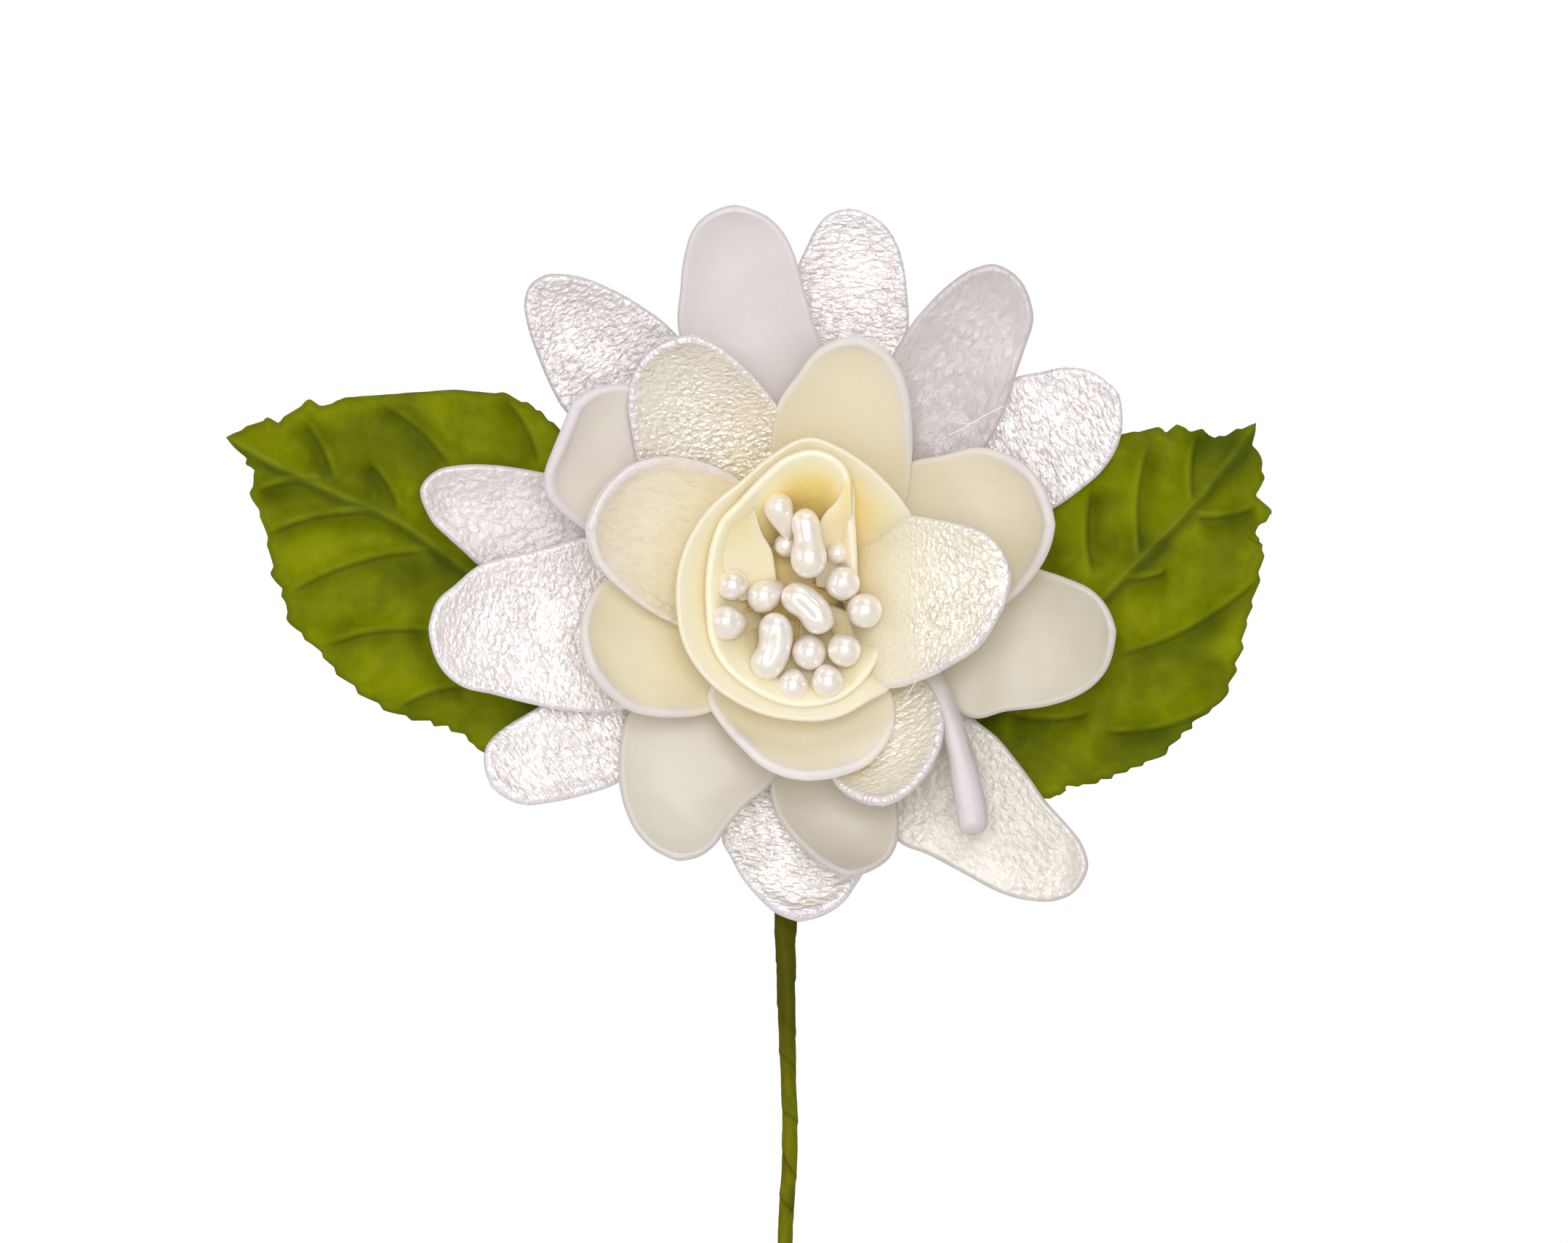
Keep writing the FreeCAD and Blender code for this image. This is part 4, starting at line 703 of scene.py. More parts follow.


# how light each petal is: painted light and shade, one satin made lighter or darker by how the petal faces the light
PETAL_LIGHT_AND_SHADE = {
    "outer_petal_01": 0.90, "outer_petal_03": 0.80, "outer_petal_05": 0.82, "outer_petal_06": 0.84, "outer_petal_07": 0.77,
    "outer_petal_09": 0.82, "outer_petal_12": 0.86, "outer_petal_13": 0.88, "outer_petal_14": 1.03, "outer_petal_10": 1.17,
    "outer_petal_02": 1.07, "outer_petal_04": 1.11, "outer_petal_08": 1.09, "outer_petal_11": 1.03,
    "middle_petal_01": 1.11, "middle_petal_02": 1.03, "middle_petal_03": 0.98, "middle_petal_05": 1.03, "middle_petal_06": 1.02,
    "inner_petal_01": 1.11, "inner_petal_02": 1.13, "inner_petal_03": 1.02,
}


def petal(name, p, seed):
    outline, marks = spline(p["a"] + p["b"][::-1][1:], 14)
    tip_at = marks[len(p["a"]) - 1]
    a2 = outline[:tip_at + 1]
    b2 = outline[tip_at:][::-1]
    nu, nv = ((96, 61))
    t = np.linspace(0, 1, nu)
    u = np.sin(t * math.pi / 2) ** 1.15
    A = by_length(a2, u)
    B = by_length(b2, u)
    w = np.linspace(-1, 1, nv)
    v = np.sin(w * math.pi / 2)
    f = (v + 1) / 2
    flat = A[:, None, :] * (1 - f)[None, :, None] + B[:, None, :] * f[None, :, None]
    edge = np.vstack([a2, b2[::-1]])
    foot_skip = edge
    d = distance_to(flat, foot_skip)
    y = smooth_list(p["y"], u)[:, None] + np.zeros((nu, nv))
    # sides curl towards the front, most of all at the tip
    q = np.clip(1 - d / 5.0, 0, 1)
    tipness = smoothstep(0.25, 1.0, u)[:, None]
    y = y - p["cup"] * q ** 2 * (0.35 + 0.65 * tipness)
    # a slow lengthwise trough and shallow soft folds in the cloth
    folds = field(np.stack([flat[..., 0], y, flat[..., 1]], axis=-1).reshape(-1, 3), 6.5, seed).reshape(nu, nv)
    fine = field(np.stack([flat[..., 0], y, flat[..., 1]], axis=-1).reshape(-1, 3), 2.3, seed + 40).reshape(nu, nv)
    y = y + 0.30 * folds * (0.3 + 0.7 * tipness) + 0.07 * fine * tipness
    mid = on_sight_line(np.stack([flat[..., 0], y, flat[..., 1]], axis=-1))
    thick = p.get("thick", 0.85)
    fa, fb = BANDS.get(name, (2.0, 2.0))
    on_a = smoothstep(fa - 0.12, fa + 0.12, u)[:, None]
    on_b = smoothstep(fb - 0.12, fb + 0.12, u)[:, None]
    side = smoothstep(-0.5, 0.5, v)[None, :]
    band = on_a * (1 - side) + on_b * side
    around = field(np.stack([flat[..., 0], np.zeros((nu, nv)), flat[..., 1]], axis=-1).reshape(-1, 3), 2.6, seed + 90).reshape(nu, nv)
    rim = thick + (p.get("rim", 1.2) - thick) * band * (1 + 0.5 * around)
    edge3 = np.vstack([mid[:, 0], mid[-1, :], mid[::-1, -1]])
    d3 = distance_to(mid, edge3)
    length = np.linalg.norm(np.diff(mid[:, nv // 2], axis=0), axis=1)
    s_len = np.concatenate([[0], np.cumsum(length)])
    width = np.linalg.norm(A - B, axis=1)
    uv = np.stack([np.broadcast_to(((f - 0.5)[None, :] * width[:, None]) / 10.0, (nu, nv)),
                   np.broadcast_to(s_len[:, None] / 10.0, (nu, nv))], axis=-1) + seed * 0.731
    # warmer and a little darker towards the middle: partly the satin's own cream, partly painted shade deep in the
    # flower
    rr = np.sqrt((mid[..., 0] + 0.5) ** 2 + (mid[..., 2] + 0.5) ** 2)
    depth_in = np.clip((17.5 - rr) / 13.0, 0, 1)
    warm = np.clip(p["warm"] + (1 - p["warm"]) * 0.72 * depth_in ** 1.4, 0, 1)
    warm = warm * (1 - 0.35 * np.clip(1 - d3 / 2.4, 0, 1) * tipness)
    if name == "inner_petal_03":
        pebble = smoothstep(8.0, 13.5, mid[..., 0])
    elif name == "inner_petal_01":
        pebble = 0.35 + 0.65 * smoothstep(-1.0, 5.0, 0.6 * (mid[..., 0] + 12.0) - (mid[..., 2] - 2.0))
    else:
        pebble = 0.25 + 0.75 * smoothstep(7.0, 13.0, rr)
    thin = (1 - smoothstep(0.10, 0.42, d3)) * 0.45
    wide = (1 - smoothstep(rim * 0.60, rim * 0.86, d3)) * band * (0.72 + 0.45 * around)
    rim_at = np.maximum(thin * np.clip(0.2 + 1.2 * tipness, 0, 1), wide)
    ob = shell(name + "_satin", mid, (0, -1, 0), thick, d3, rim, petal_material(p["kind"]), uv,
               {"warm": warm, "rim": rim_at, "pebble": pebble, "tone": np.full((nu, nv), PETAL_LIGHT_AND_SHADE.get(name, 1.0))}, pole=True)
    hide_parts(name)
    return ob


SLOT = {"outer": "petal_outer", "middle": "petal_inner", "inner": "petal_centre"}
for k, pname in enumerate(sorted(PETALS)):
    PETALS[pname]["slot"] = "petal_outer" if pname.startswith("outer") else "petal_inner"
    petal(pname, PETALS[pname], k + 1)


# the petal seen edge-on at the lower right: a folded strip with a thick round end
def edge_petal():
    spine = spline([(5.4, -9.9, -3.2), (7.4, -10.8, -4.8), (10.4, -11.9, -6.9), (13.0, -13.2, -9.9), (14.3, -14.2, -13.5), (15.2, -14.6, -17.0), (15.9, -14.9, -20.4), (16.3, -15.0, -22.9)], 16)[0]
    n, m = ((120, 36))
    us = np.linspace(0, 1, n)
    P = by_length(spine, us)
    T = np.gradient(P, axis=0)
    T /= np.linalg.norm(T, axis=1, keepdims=True)
    seen = np.interp(us, [0, 0.35, 0.6, 0.8, 0.93, 1.0], [0.45, 0.62, 0.85, 1.22, 1.36, 1.30])
    deep = np.interp(us, [0, 0.3, 0.7, 1.0], [1.2, 2.2, 3.0, 2.9])
    verts, faces, uvs, warm, rim = [], [], [], [], []
    for i in range(n):
        side = np.cross(T[i], (0, -1, 0))
        side /= np.linalg.norm(side)
        back = np.array((0, 1, 0)) * 0.97 + side * -0.24
        for j in range(m):
            a = 2 * math.pi * j / m
            ca, sa = math.cos(a), math.sin(a)
            cx = math.copysign(abs(ca) ** 0.85, ca) * seen[i]
            dy = -math.copysign(abs(sa) ** 0.8, sa) * (0.75 if sa > 0 else deep[i])
            q = P[i] + side * cx + back * dy
            verts.append(q)
            uvs.append((j / m * 0.8, us[i] * 2.2))
            warm.append(0.35 * (1 - us[i]))
            rim.append(0.25 + 0.35 * (ca < 0))
    for i in range(n - 1):
        for j in range(m):
            faces.append((i * m + j, i * m + (j + 1) % m, (i + 1) * m + (j + 1) % m, (i + 1) * m + j))
    for i, sgn in ((0, -1), (n - 1, 1)):
        prev = i * m
        centre = P[i] + np.array((0, 1, 0)) * (deep[i] - 0.75) * 0.5
        ring0 = [np.array(verts[i * m + j]) for j in range(m)]
        for kk in range(1, 7):
            f = kk / 6.0
            shrink = math.sqrt(max(0.0, 1 - f * f))
            if kk == 6:
                verts.append(centre + T[i] * sgn * seen[i] * 1.0)
                uvs.append((0.4, us[i] * 2.2))
                warm.append(0.35 * (1 - us[i]))
                rim.append(0.35)
                last = len(verts) - 1
                for j in range(m):
                    faces.append((prev + j, prev + (j + 1) % m, last))
            else:
                start = len(verts)
                for j in range(m):
                    verts.append(centre + (ring0[j] - centre) * shrink + T[i] * sgn * seen[i] * f)
                    uvs.append((j / m * 0.8, us[i] * 2.2))
                    warm.append(0.35 * (1 - us[i]))
                    rim.append(0.35)
                for j in range(m):
                    faces.append((prev + j, prev + (j + 1) % m, start + (j + 1) % m, start + j))
                prev = start
    V = np.array(verts)
    bumpy = field(V, 2.1, 77)
    V[:, 0] += 0.10 * bumpy
    # painted shade: this edge-on petal's satin is darkened with tone 0.84
    ob = add_object("middle_petal_04_satin", V * MM, faces, petal_material("smooth"), uvs, {"warm": warm, "rim": rim, "pebble": [1.0] * len(V), "tone": [0.84] * len(V)})
    bm = bmesh.new()
    bm.from_mesh(ob.data)
    bmesh.ops.recalc_face_normals(bm, faces=bm.faces)
    bm.to_mesh(ob.data)
    bm.free()
    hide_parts("middle_petal_04")
    return ob


edge_petal()


# ---------------------------------------------------------------- rolled satin cup
def wrap(name, rim_pts, foot_pts, kind, node_name, thick, rim, y_power, warm0, warm1, seed, inward=0.0, tone=1.04):
    """Sheet standing between a foot line and a rim line, both (x, y, z) in mm."""
    n, m = ((220, 44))
    R = by_length(spline(rim_pts, 14)[0], np.linspace(0, 1, n))
    F = by_length(spline(foot_pts, 14)[0], np.linspace(0, 1, n))
    t = np.sin(np.linspace(0, 1, m) * math.pi / 2) ** 1.1
    across = t ** inward if inward else t
    mid = np.empty((n, m, 3))
    for j in range(m):
        mid[:, j, 0] = F[:, 0] + (R[:, 0] - F[:, 0]) * across[j]
        mid[:, j, 2] = F[:, 2] + (R[:, 2] - F[:, 2]) * across[j]
        mid[:, j, 1] = F[:, 1] + (R[:, 1] - F[:, 1]) * t[j] ** y_power
    mid = on_sight_line(mid)
    wob = field(mid.reshape(-1, 3), 5.0, seed).reshape(n, m)
    rad = mid - np.array([-0.8, 0, -0.75])
    rad[..., 1] = 0
    rad /= np.maximum(np.linalg.norm(rad, axis=2, keepdims=True), 1e-6)
    mid = mid + rad * (0.16 * wob)[..., None]
    edge3 = np.vstack([mid[0, :], mid[:, -1], mid[-1, ::-1]])
    d3 = distance_to(mid, edge3)
    # the foot of the sheet is glued down and has no rolled edge
    s_len = np.concatenate([[0], np.cumsum(np.linalg.norm(np.diff(mid[:, -1], axis=0), axis=1))])
    h_len = np.concatenate([[0], np.cumsum(np.linalg.norm(np.diff(mid[n // 2], axis=0), axis=1))])
    uv = np.stack([np.broadcast_to(s_len[:, None] / 10, (n, m)), np.broadcast_to(h_len[None, :] / 10, (n, m))], axis=-1) + seed * 0.37
    # warmer towards the foot: partly the satin's own cream, partly painted shade deep in the cup; the extra yellow
    # high up, away from the rim, is painted shade in the hollow
    warm = warm0 + (warm1 - warm0) * smoothstep(0.15, 1.0, t)[None, :] + np.zeros((n, m))
    extra = np.clip((mid[..., 2] - 2.0) / 8.0, 0, 1) * (1 - smoothstep(0.55, 0.95, t))[None, :]
    warm = np.clip(warm + 0.35 * extra, 0, 1)
    warm = np.clip(warm - 0.06 * (1 - smoothstep(0.2, 1.4, d3)), 0, 1)
    rim_at = 0.0 * d3
    # painted light: 'tone' brightens this piece's satin (1.04 unless given; 1.20 for the inner wrap, 1.14 for the
    # curls)
    ob = shell(name, mid, (0, -1, 0), thick, d3, rim, petal_material(kind), uv, {"warm": warm, "rim": rim_at, "pebble": np.full((n, m), 1.0), "tone": np.full((n, m), tone)})
    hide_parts(node_name)
    return ob


CUP = (-0.8, -0.75)


def polar(a, r):
    return (CUP[0] + r * math.sin(math.radians(a)), CUP[1] + r * math.cos(math.radians(a)))


out_xy = [polar(a, r) for a, r in [(100, 10.4), (88, 11.6), (76, 12.6), (64, 13.2)] + OUT + [(124, 12.4)]]
rim_o = []
foot_o = []
for i, (x, z) in enumerate(out_xy):
    f = i / (len(out_xy) - 1)
    yr = float(np.interp(f, [0, 0.06, 0.12, 0.18, 0.3, 0.5, 0.8, 0.9, 1.0], [-13.6, -14.8, -16.2, -17.9, -19.0, -18.5, -18.3, -17.4, -14.6]))
    rim_o.append((x, yr, z))
    foot_o.append((CUP[0] + (x - CUP[0]) * 0.40, -12.4, CUP[1] + (z - CUP[1]) * 0.40))
wrap("centre_wrap_outer_satin", rim_o, foot_o, "cup", "centre_wrap_outer", 0.6, 0.6, 0.72, 0.80, 0.62, 3, inward=1.0)

inn_xy = [(5.2, -1.6), (5.35, 0.6)] + [polar(a, r) for a, r in INN]
rim_i = []
foot_i = []
for i, (x, z) in enumerate(inn_xy):
    f = i / (len(inn_xy) - 1)
    yr = float(np.interp(f, [0, 0.10, 0.2, 0.3, 0.42, 0.6, 0.78, 0.9, 1.0], [-15.2, -17.8, -19.8, -20.6, -19.2, -17.8, -18.2, -17.2, -14.0]))
    k = float(np.interp(f, [0, 0.12, 0.3, 0.42, 1.0], [0.55, 0.5, 0.42, 0.42, 0.42]))
    rim_i.append((x, yr, z))
    foot_i.append((CUP[0] + (x - CUP[0]) * k, -12.2, CUP[1] + (z - CUP[1]) * k))
wrap("centre_wrap_inner_satin", rim_i, foot_i, "cup", "centre_wrap_inner", 0.6, 0.75, 1.0, 0.76, 0.68, 5, inward=1.0, tone=1.20)

# the innermost turn: flaps lapping the left and the right of the bowl, with the hollow between them
rim_c = [(-1.4, -19.4, 10.6), (-2.7, -19.0, 9.4), (-3.82, -18.6, 8.17), (-4.17, -17.5, 6.8), (-3.71, -16.4, 4.74), (-2.68, -15.6, 2.79), (-2.22, -15.0, 0.39), (-2.1, -14.4, -1.0)]
foot_c = [(-2.0, -19.7, 10.9), (-3.7, -19.7, 9.6), (-5.4, -19.0, 7.9), (-6.5, -18.0, 5.7), (-7.2, -17.3, 3.4), (-7.3, -16.8, 1.2), (-6.7, -15.9, -0.6), (-5.7, -15.0, -2.0)]
wrap("centre_curl_left_satin", rim_c, foot_c, "cup", "centre_curl", 0.45, 0.5, 1.0, 0.72, 0.74, 9, inward=1.0, tone=1.14)
rim_r = [(4.45, -20.0, 9.4), (3.61, -18.8, 7.71), (2.12, -17.0, 6.0), (1.4, -15.6, 3.8), (1.3, -14.6, 1.6), (1.5, -13.8, -0.6)]
foot_r = [(4.8, -20.3, 9.6), (4.85, -19.8, 7.6), (4.95, -18.3, 5.6), (5.0, -16.3, 3.4), (5.05, -15.4, 1.2), (5.0, -14.6, -1.0)]
wrap("centre_curl_right_satin", rim_r, foot_r, "cup", "centre_curl", 0.45, 0.5, 1.0, 0.66, 0.66, 10, inward=1.0, tone=1.14)


# ---------------------------------------------------------------- pearls
def blob(name_seed, centre, radius, tail=None, squash_z=1.0):
    bm = bmesh.new()
    bmesh.ops.create_icosphere(bm, subdivisions=4, radius=1.0)
    rnd = random.Random(name_seed)
    k = [rnd.uniform(-0.035, 0.035) for _ in range(3)]
    for vtx in bm.verts:
        n = vtx.co.normalized()
        r = radius * (1 + 0.045 * noise.noise(n * 1.1 + Vector((name_seed * 3.7, 0, 0))) + k[0] * n.x * n.x + k[1] * n.z * n.z)
        q = n * r
        if tail is not None:
            tdir = Vector(tail[:3]).normalized()
            along = max(0.0, n.dot(tdir))
            q += tdir * (tail[3] * along ** 3)
        q.z *= squash_z
        vtx.co = (q + Vector(centre)) * MM
    return bm


def join_bmeshes(name, parts, mat):
    me = bpy.data.meshes.new(name)
    total = bmesh.new()
    for part in parts:
        tmp = bpy.data.meshes.new("tmp")
        part.to_mesh(tmp)
        total.from_mesh(tmp)
        bpy.data.meshes.remove(tmp)
        part.free()
    bmesh.ops.recalc_face_normals(total, faces=total.faces)
    total.to_mesh(me)
    total.free()
    me.polygons.foreach_set("use_smooth", [True] * len(me.polygons))
    me.materials.append(mat)
    ob = bpy.data.objects.new(name, me)
    scene.collection.objects.link(ob)
    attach(ob, "flower")
    return ob


parts = []
for i, (x, y, z, r) in enumerate(ROUND):
    to_core = (-x * 0.6, 3.0, -z * 0.6)
    tail = None
    if i == 0:
        tail = (0.35, 0.35, -1.0, 1.9)
    elif i == 6:
        tail = (0.9, 0.3, 0.55, 0.8)
    elif i == 7:
        tail = (0.95, 0.3, 0.0, 0.55)
    else:
        tail = (to_core[0], to_core[1], to_core[2], r * 0.22)
    parts.append(blob(i + 1, (x, y, z), r, tail))
round_ob = join_bmeshes("round_pearls_lacquered", parts, MAT_PEARL)
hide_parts("round_pearls")

parts = []
for i, (pa, pb) in enumerate(BEAN):
    ra, rb = pa[3], pb[3]
    a, b = np.array(pa[:3]), np.array(pb[:3])
    axis = (b - a) / np.linalg.norm(b - a)
    side = np.cross(axis, (0, -1, 0))
    side /= np.linalg.norm(side)
    bend = (-0.12, -0.30, -0.42)[i]
    waist = (0.80, 0.90, 0.90)[i]
    ts = np.linspace(0, 1, 9)
    balls = [a + (b - a) * t + side * bend * (1 - (2 * t - 1) ** 2) for t in ts]
    rads = [(ra + (rb - ra) * t) * (1 - (1 - waist) * (1 - (2 * t - 1) ** 2) ** 2) for t in ts]
    mid_pt = (a + b) / 2 + side * bend * 0.4
    bm = bmesh.new()
    bmesh.ops.create_icosphere(bm, subdivisions=5, radius=1.0)
    N = np.array([v.co[:] for v in bm.verts])
    N /= np.linalg.norm(N, axis=1, keepdims=True)
    lo, hi = np.zeros(len(N)), np.full(len(N), 7.0)

    def inside(t):
        q = mid_pt + N * t[:, None]
        acc = np.zeros(len(N))
        for c, r in zip(balls, rads):
            acc += np.exp(-7.0 * (np.linalg.norm(q - c, axis=1) - r))
        return acc > 1.9
    for _ in range(22):
        m = (lo + hi) / 2
        ok = inside(m)
        lo = np.where(ok, m, lo)
        hi = np.where(ok, hi, m)
    Q = mid_pt + N * lo[:, None]
    rel = Q - mid_pt
    along = rel @ axis
    across = rel @ side
    front = -rel[:, 1]
    half = np.linalg.norm(b - a) / 2
    dent = np.zeros(len(N))
    if i:
        # a crease running down the front of the bean
        dent = 0.22 * np.exp(-((across - (0.30, 0.30, 0.12)[i]) / 0.24) ** 2) * np.exp(-(along / half / 0.85) ** 4) * (front > 0)
    lumps = np.array([noise.noise(Vector(n) * 1.7 + Vector((i * 5.0, 2.0, 0))) for n in N])
    Q = Q + np.array((0, 1, 0)) * dent[:, None] + N * (0.05 * lumps)[:, None]
    for v, q in zip(bm.verts, Q):
        v.co = q * MM
    for _ in range(3):
        bmesh.ops.smooth_vert(bm, verts=bm.verts, factor=0.5, use_axis_x=True, use_axis_y=True, use_axis_z=True)
    parts.append(bm)
bean_ob = join_bmeshes("bean_pearls_lacquered", parts, MAT_PEARL)
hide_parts("bean_pearls")


# ---------------------------------------------------------------- tubes: threads, wires, tape
def tube(points, radii, sides, per=6, twist=None, ends=True, crease=None):
    c = spline(points, per)[0]
    n = len(c)
    s = np.concatenate([[0], np.cumsum(np.linalg.norm(np.diff(c, axis=0), axis=1))])
    r = np.interp(np.linspace(0, 1, n), np.linspace(0, 1, len(radii)), radii) if len(radii) != n else np.array(radii)
    T = np.gradient(c, axis=0)
    T /= np.linalg.norm(T, axis=1, keepdims=True)
    up = np.array((0.31, 0.9, 0.2))
    verts, faces, mark = [], [], []
    for i in range(n):
        up = up - T[i] * np.dot(up, T[i])
        up /= np.linalg.norm(up)
        side = np.cross(T[i], up)
        for j in range(sides):
            a = 2 * math.pi * j / sides
            rr, cr = (twist(s[i], a, c[i]) if twist else (1.0, 0.0))
            verts.append(c[i] + (up * math.cos(a) + side * math.sin(a)) * r[i] * rr)
            mark.append(cr)
    for i in range(n - 1):
        for j in range(sides):
            faces.append((i * sides + j, i * sides + (j + 1) % sides, (i + 1) * sides + (j + 1) % sides, (i + 1) * sides + j))
    if ends:
        for i in (0, n - 1):
            verts.append(c[i])
            mark.append(0)
            k = len(verts) - 1
            for j in range(sides):
                q = (i * sides + j, i * sides + (j + 1) % sides, k)
                faces.append(q if i else q[::-1])
    return np.array(verts), faces, mark


def tubes(name, items, mat):
    V, F, M = [], [], []
    for args in items:
        v, f, m = tube(*args)
        F += [tuple(i + len(M) for i in q) for q in f]
        V.append(v)
        M += list(m)
    ob = add_object(name, np.vstack(V) * MM, F, mat, None, {"crease": M})
    bm = bmesh.new()
    bm.from_mesh(ob.data)
    bmesh.ops.recalc_face_normals(bm, faces=bm.faces)
    bm.to_mesh(ob.data)
    bm.free()
    return ob


threads = []
rnd = random.Random(11)
heads = [(x, y + r * 0.6, z) for x, y, z, r in ROUND] + [((p[0] + q[0]) / 2, (p[1] + q[1]) / 2 + 0.9, (p[2] + q[2]) / 2) for p, q in BEAN]
for x, y, z in heads:
    fx, fz = x * 0.22 + rnd.uniform(-0.3, 0.3), z * 0.22 + rnd.uniform(-0.3, 0.3)
    threads.append(([(x, y, z), (x * 0.8 + rnd.uniform(-0.2, 0.2), -14.4, z * 0.8), (x * 0.45, -13.2, z * 0.45), (fx, -11.9, fz)], [0.16, 0.15, 0.15, 0.15], 8))
thread_ob = tubes("stamen_threads_waxed", threads, MAT_THREAD)
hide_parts("stamen_threads")

Y = -3.4
STEM = [(0, -2.6, .72), (0, -6, .8), (-.3, -12, 1.0), (-.95, -19, 1.15), (-1.4, -26, 1.15), (-1.46, -31.5, 1.08), (-1.29, -38.2, .92), (-1.14, -46.6, .74), (-.97, -55.1, .74), (-1.34, -61.4, .72), (-1.4, -64, .71), (-1.4, -70, .7), (-1.4, -76, .7), (-1.4, -82, .7)]


def tape_twist(s, a, c):
    turn = 4.6
    phase = (s / turn + a / (2 * math.pi) + 0.12 * math.sin(s * 0.9)) % 1.0
    step = 0.10 * phase - 0.05
    lump = 0.07 * noise.noise(Vector((c[0], math.cos(a) * 0.7, c[2] * 0.45 + math.sin(a) * 0.7)))
    fine = 0.035 * noise.noise(Vector((math.cos(a) * 2.2, math.sin(a) * 2.2, c[2] * 1.3)))
    ridge = 0.05 * math.sin(3 * a + s * 0.35)
    # the 'crease' mark: the dark seam where one wrap laps the next, plus painted shade on the upper stem under the
    # flower and in the dents
    crease = math.exp(-((phase - 0.985) / 0.035) ** 2) + math.exp(-((phase + 0.015) / 0.035) ** 2)
    shade = 1.0 * max(0.0, min(1.0, (c[2] + 56.0) / 16.0))
    return 1 + step + lump + fine + ridge, min(1.0, crease + shade + max(0.0, -2.2 * lump))


tape_c = [(x, Y, z) for x, z, r in STEM]
per = 36
dense = spline(tape_c, per)[0]
arc = np.linspace(0, 1, len(dense))
stem_r = np.interp(arc * (len(STEM) - 1), range(len(STEM)), [r for _, _, r in STEM])
tape_ob = tubes("stem_tape_wrapped", [(tape_c, stem_r, 40, per, tape_twist, True)], MAT_TAPE)
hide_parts("stem_tape")

# ---------------------------------------------------------------- leaves
LEAF = {
    "leaf_left": dict(
        flat_part=(11.0, 28.0),
        up=LEFT_UP + [(-21.2, 10.0), (-20.2, 4.0), (-19.0, -3.0), (-18.4, -10.0), (-18.6, -16.4)],
        low=[LEFT_UP[0]] + LEFT_LOW + [(-27.4, -17.6), (-23.4, -18.0), (-20.3, -17.2)],
        mid=[(-54.45, -5.2, 13.55), (-50.6, -5.0, 11.5), (-44.6, -4.7, 8.55), (-38.7, -4.4, 5.95), (-34.2, -4.2, 2.97), (-28.25, -4.0, -2.23), (-23.8, -3.95, -8.9), (-19.3, -3.9, -16.8)]),
    "leaf_right": dict(
        up=[(43.25, 14.94), (40.79, 13.83), (39.31, 13.33), (38.08, 14.2), (36.85, 14.07), (35.74, 14.69), (34.63, 13.95), (33.89, 14.32), (31.55, 14.0), (29.0, 13.6), (24.6, 11.6), (20.4, 7.0), (16.4, 0.6), (12.8, -7.0), (10.0, -14.6), (9.4, -19.2)],
        low=RIGHT[9:] + [(20.4, -21.2), (16.0, -21.8), (12.4, -21.0), (10.6, -20.0)],
        mid=[(43.25, -5.4, 14.94), (40.6, -5.1, 11.4), (37.3, -4.8, 7.3), (32.1, -4.5, 1.9), (28.4, -4.3, -1.9), (23.8, -4.1, -6.6), (18.8, -4.0, -11.6), (14.4, -3.95, -15.6), (10.1, -3.9, -19.6)]),
}
LEAF["leaf_left"]["veins"] = veinsL
LEAF["leaf_right"]["veins"] = veinsR


def jag(curve, seed, amp, keep, flat_part=None):
    """Fine serration pointing to the leaf's tip (the curve starts at the tip)."""
    rnd = random.Random(seed)
    seg = np.linalg.norm(np.diff(curve, axis=0), axis=1)
    s = np.concatenate([[0], np.cumsum(seg)])
    n = 420
    at = np.linspace(0, s[-1], n)
    P = np.stack([np.interp(at, s, curve[:, k]) for k in (0, 1)], axis=1)
    T = np.gradient(P, axis=0)
    T /= np.linalg.norm(T, axis=1, keepdims=True)
    N = np.stack([-T[:, 1], T[:, 0]], axis=1)
    if ((P - curve.mean(axis=0)) * N).sum() < 0:
        N = -N
    pos, start, size, height = 0.0, [], [], []
    while pos < s[-1]:
        w = rnd.uniform(1.3, 2.9)
        start.append(pos)
        size.append(w)
        height.append(rnd.uniform(0.35, 1.0))
        pos += w
    start = np.array(start)
    idx = np.clip(np.searchsorted(start, at, side="right") - 1, 0, len(start) - 1)
    ph = (at - start[idx]) / np.array(size)[idx]
    tooth = np.where(ph < 0.25, ph / 0.25, 1 - (ph - 0.25) / 0.75) * np.array(height)[idx]
    if flat_part:
        tooth = tooth * (1 - 0.85 * smoothstep(flat_part[0], flat_part[0] + 2, at) * (1 - smoothstep(flat_part[1] - 2, flat_part[1], at)))
    fade = np.minimum(1, at / 2.0) * (1 - smoothstep(keep - 4, keep, at))
    return P + N * (tooth * amp * fade)[:, None]


def dist_seg(px, pz, a, b):
    ax, az = a
    bx, bz = b
    vx, vz = bx - ax, bz - az
    t = np.clip(((px - ax) * vx + (pz - az) * vz) / (vx * vx + vz * vz), 0, 1)
    return np.hypot(px - ax - t * vx, pz - az - t * vz), t


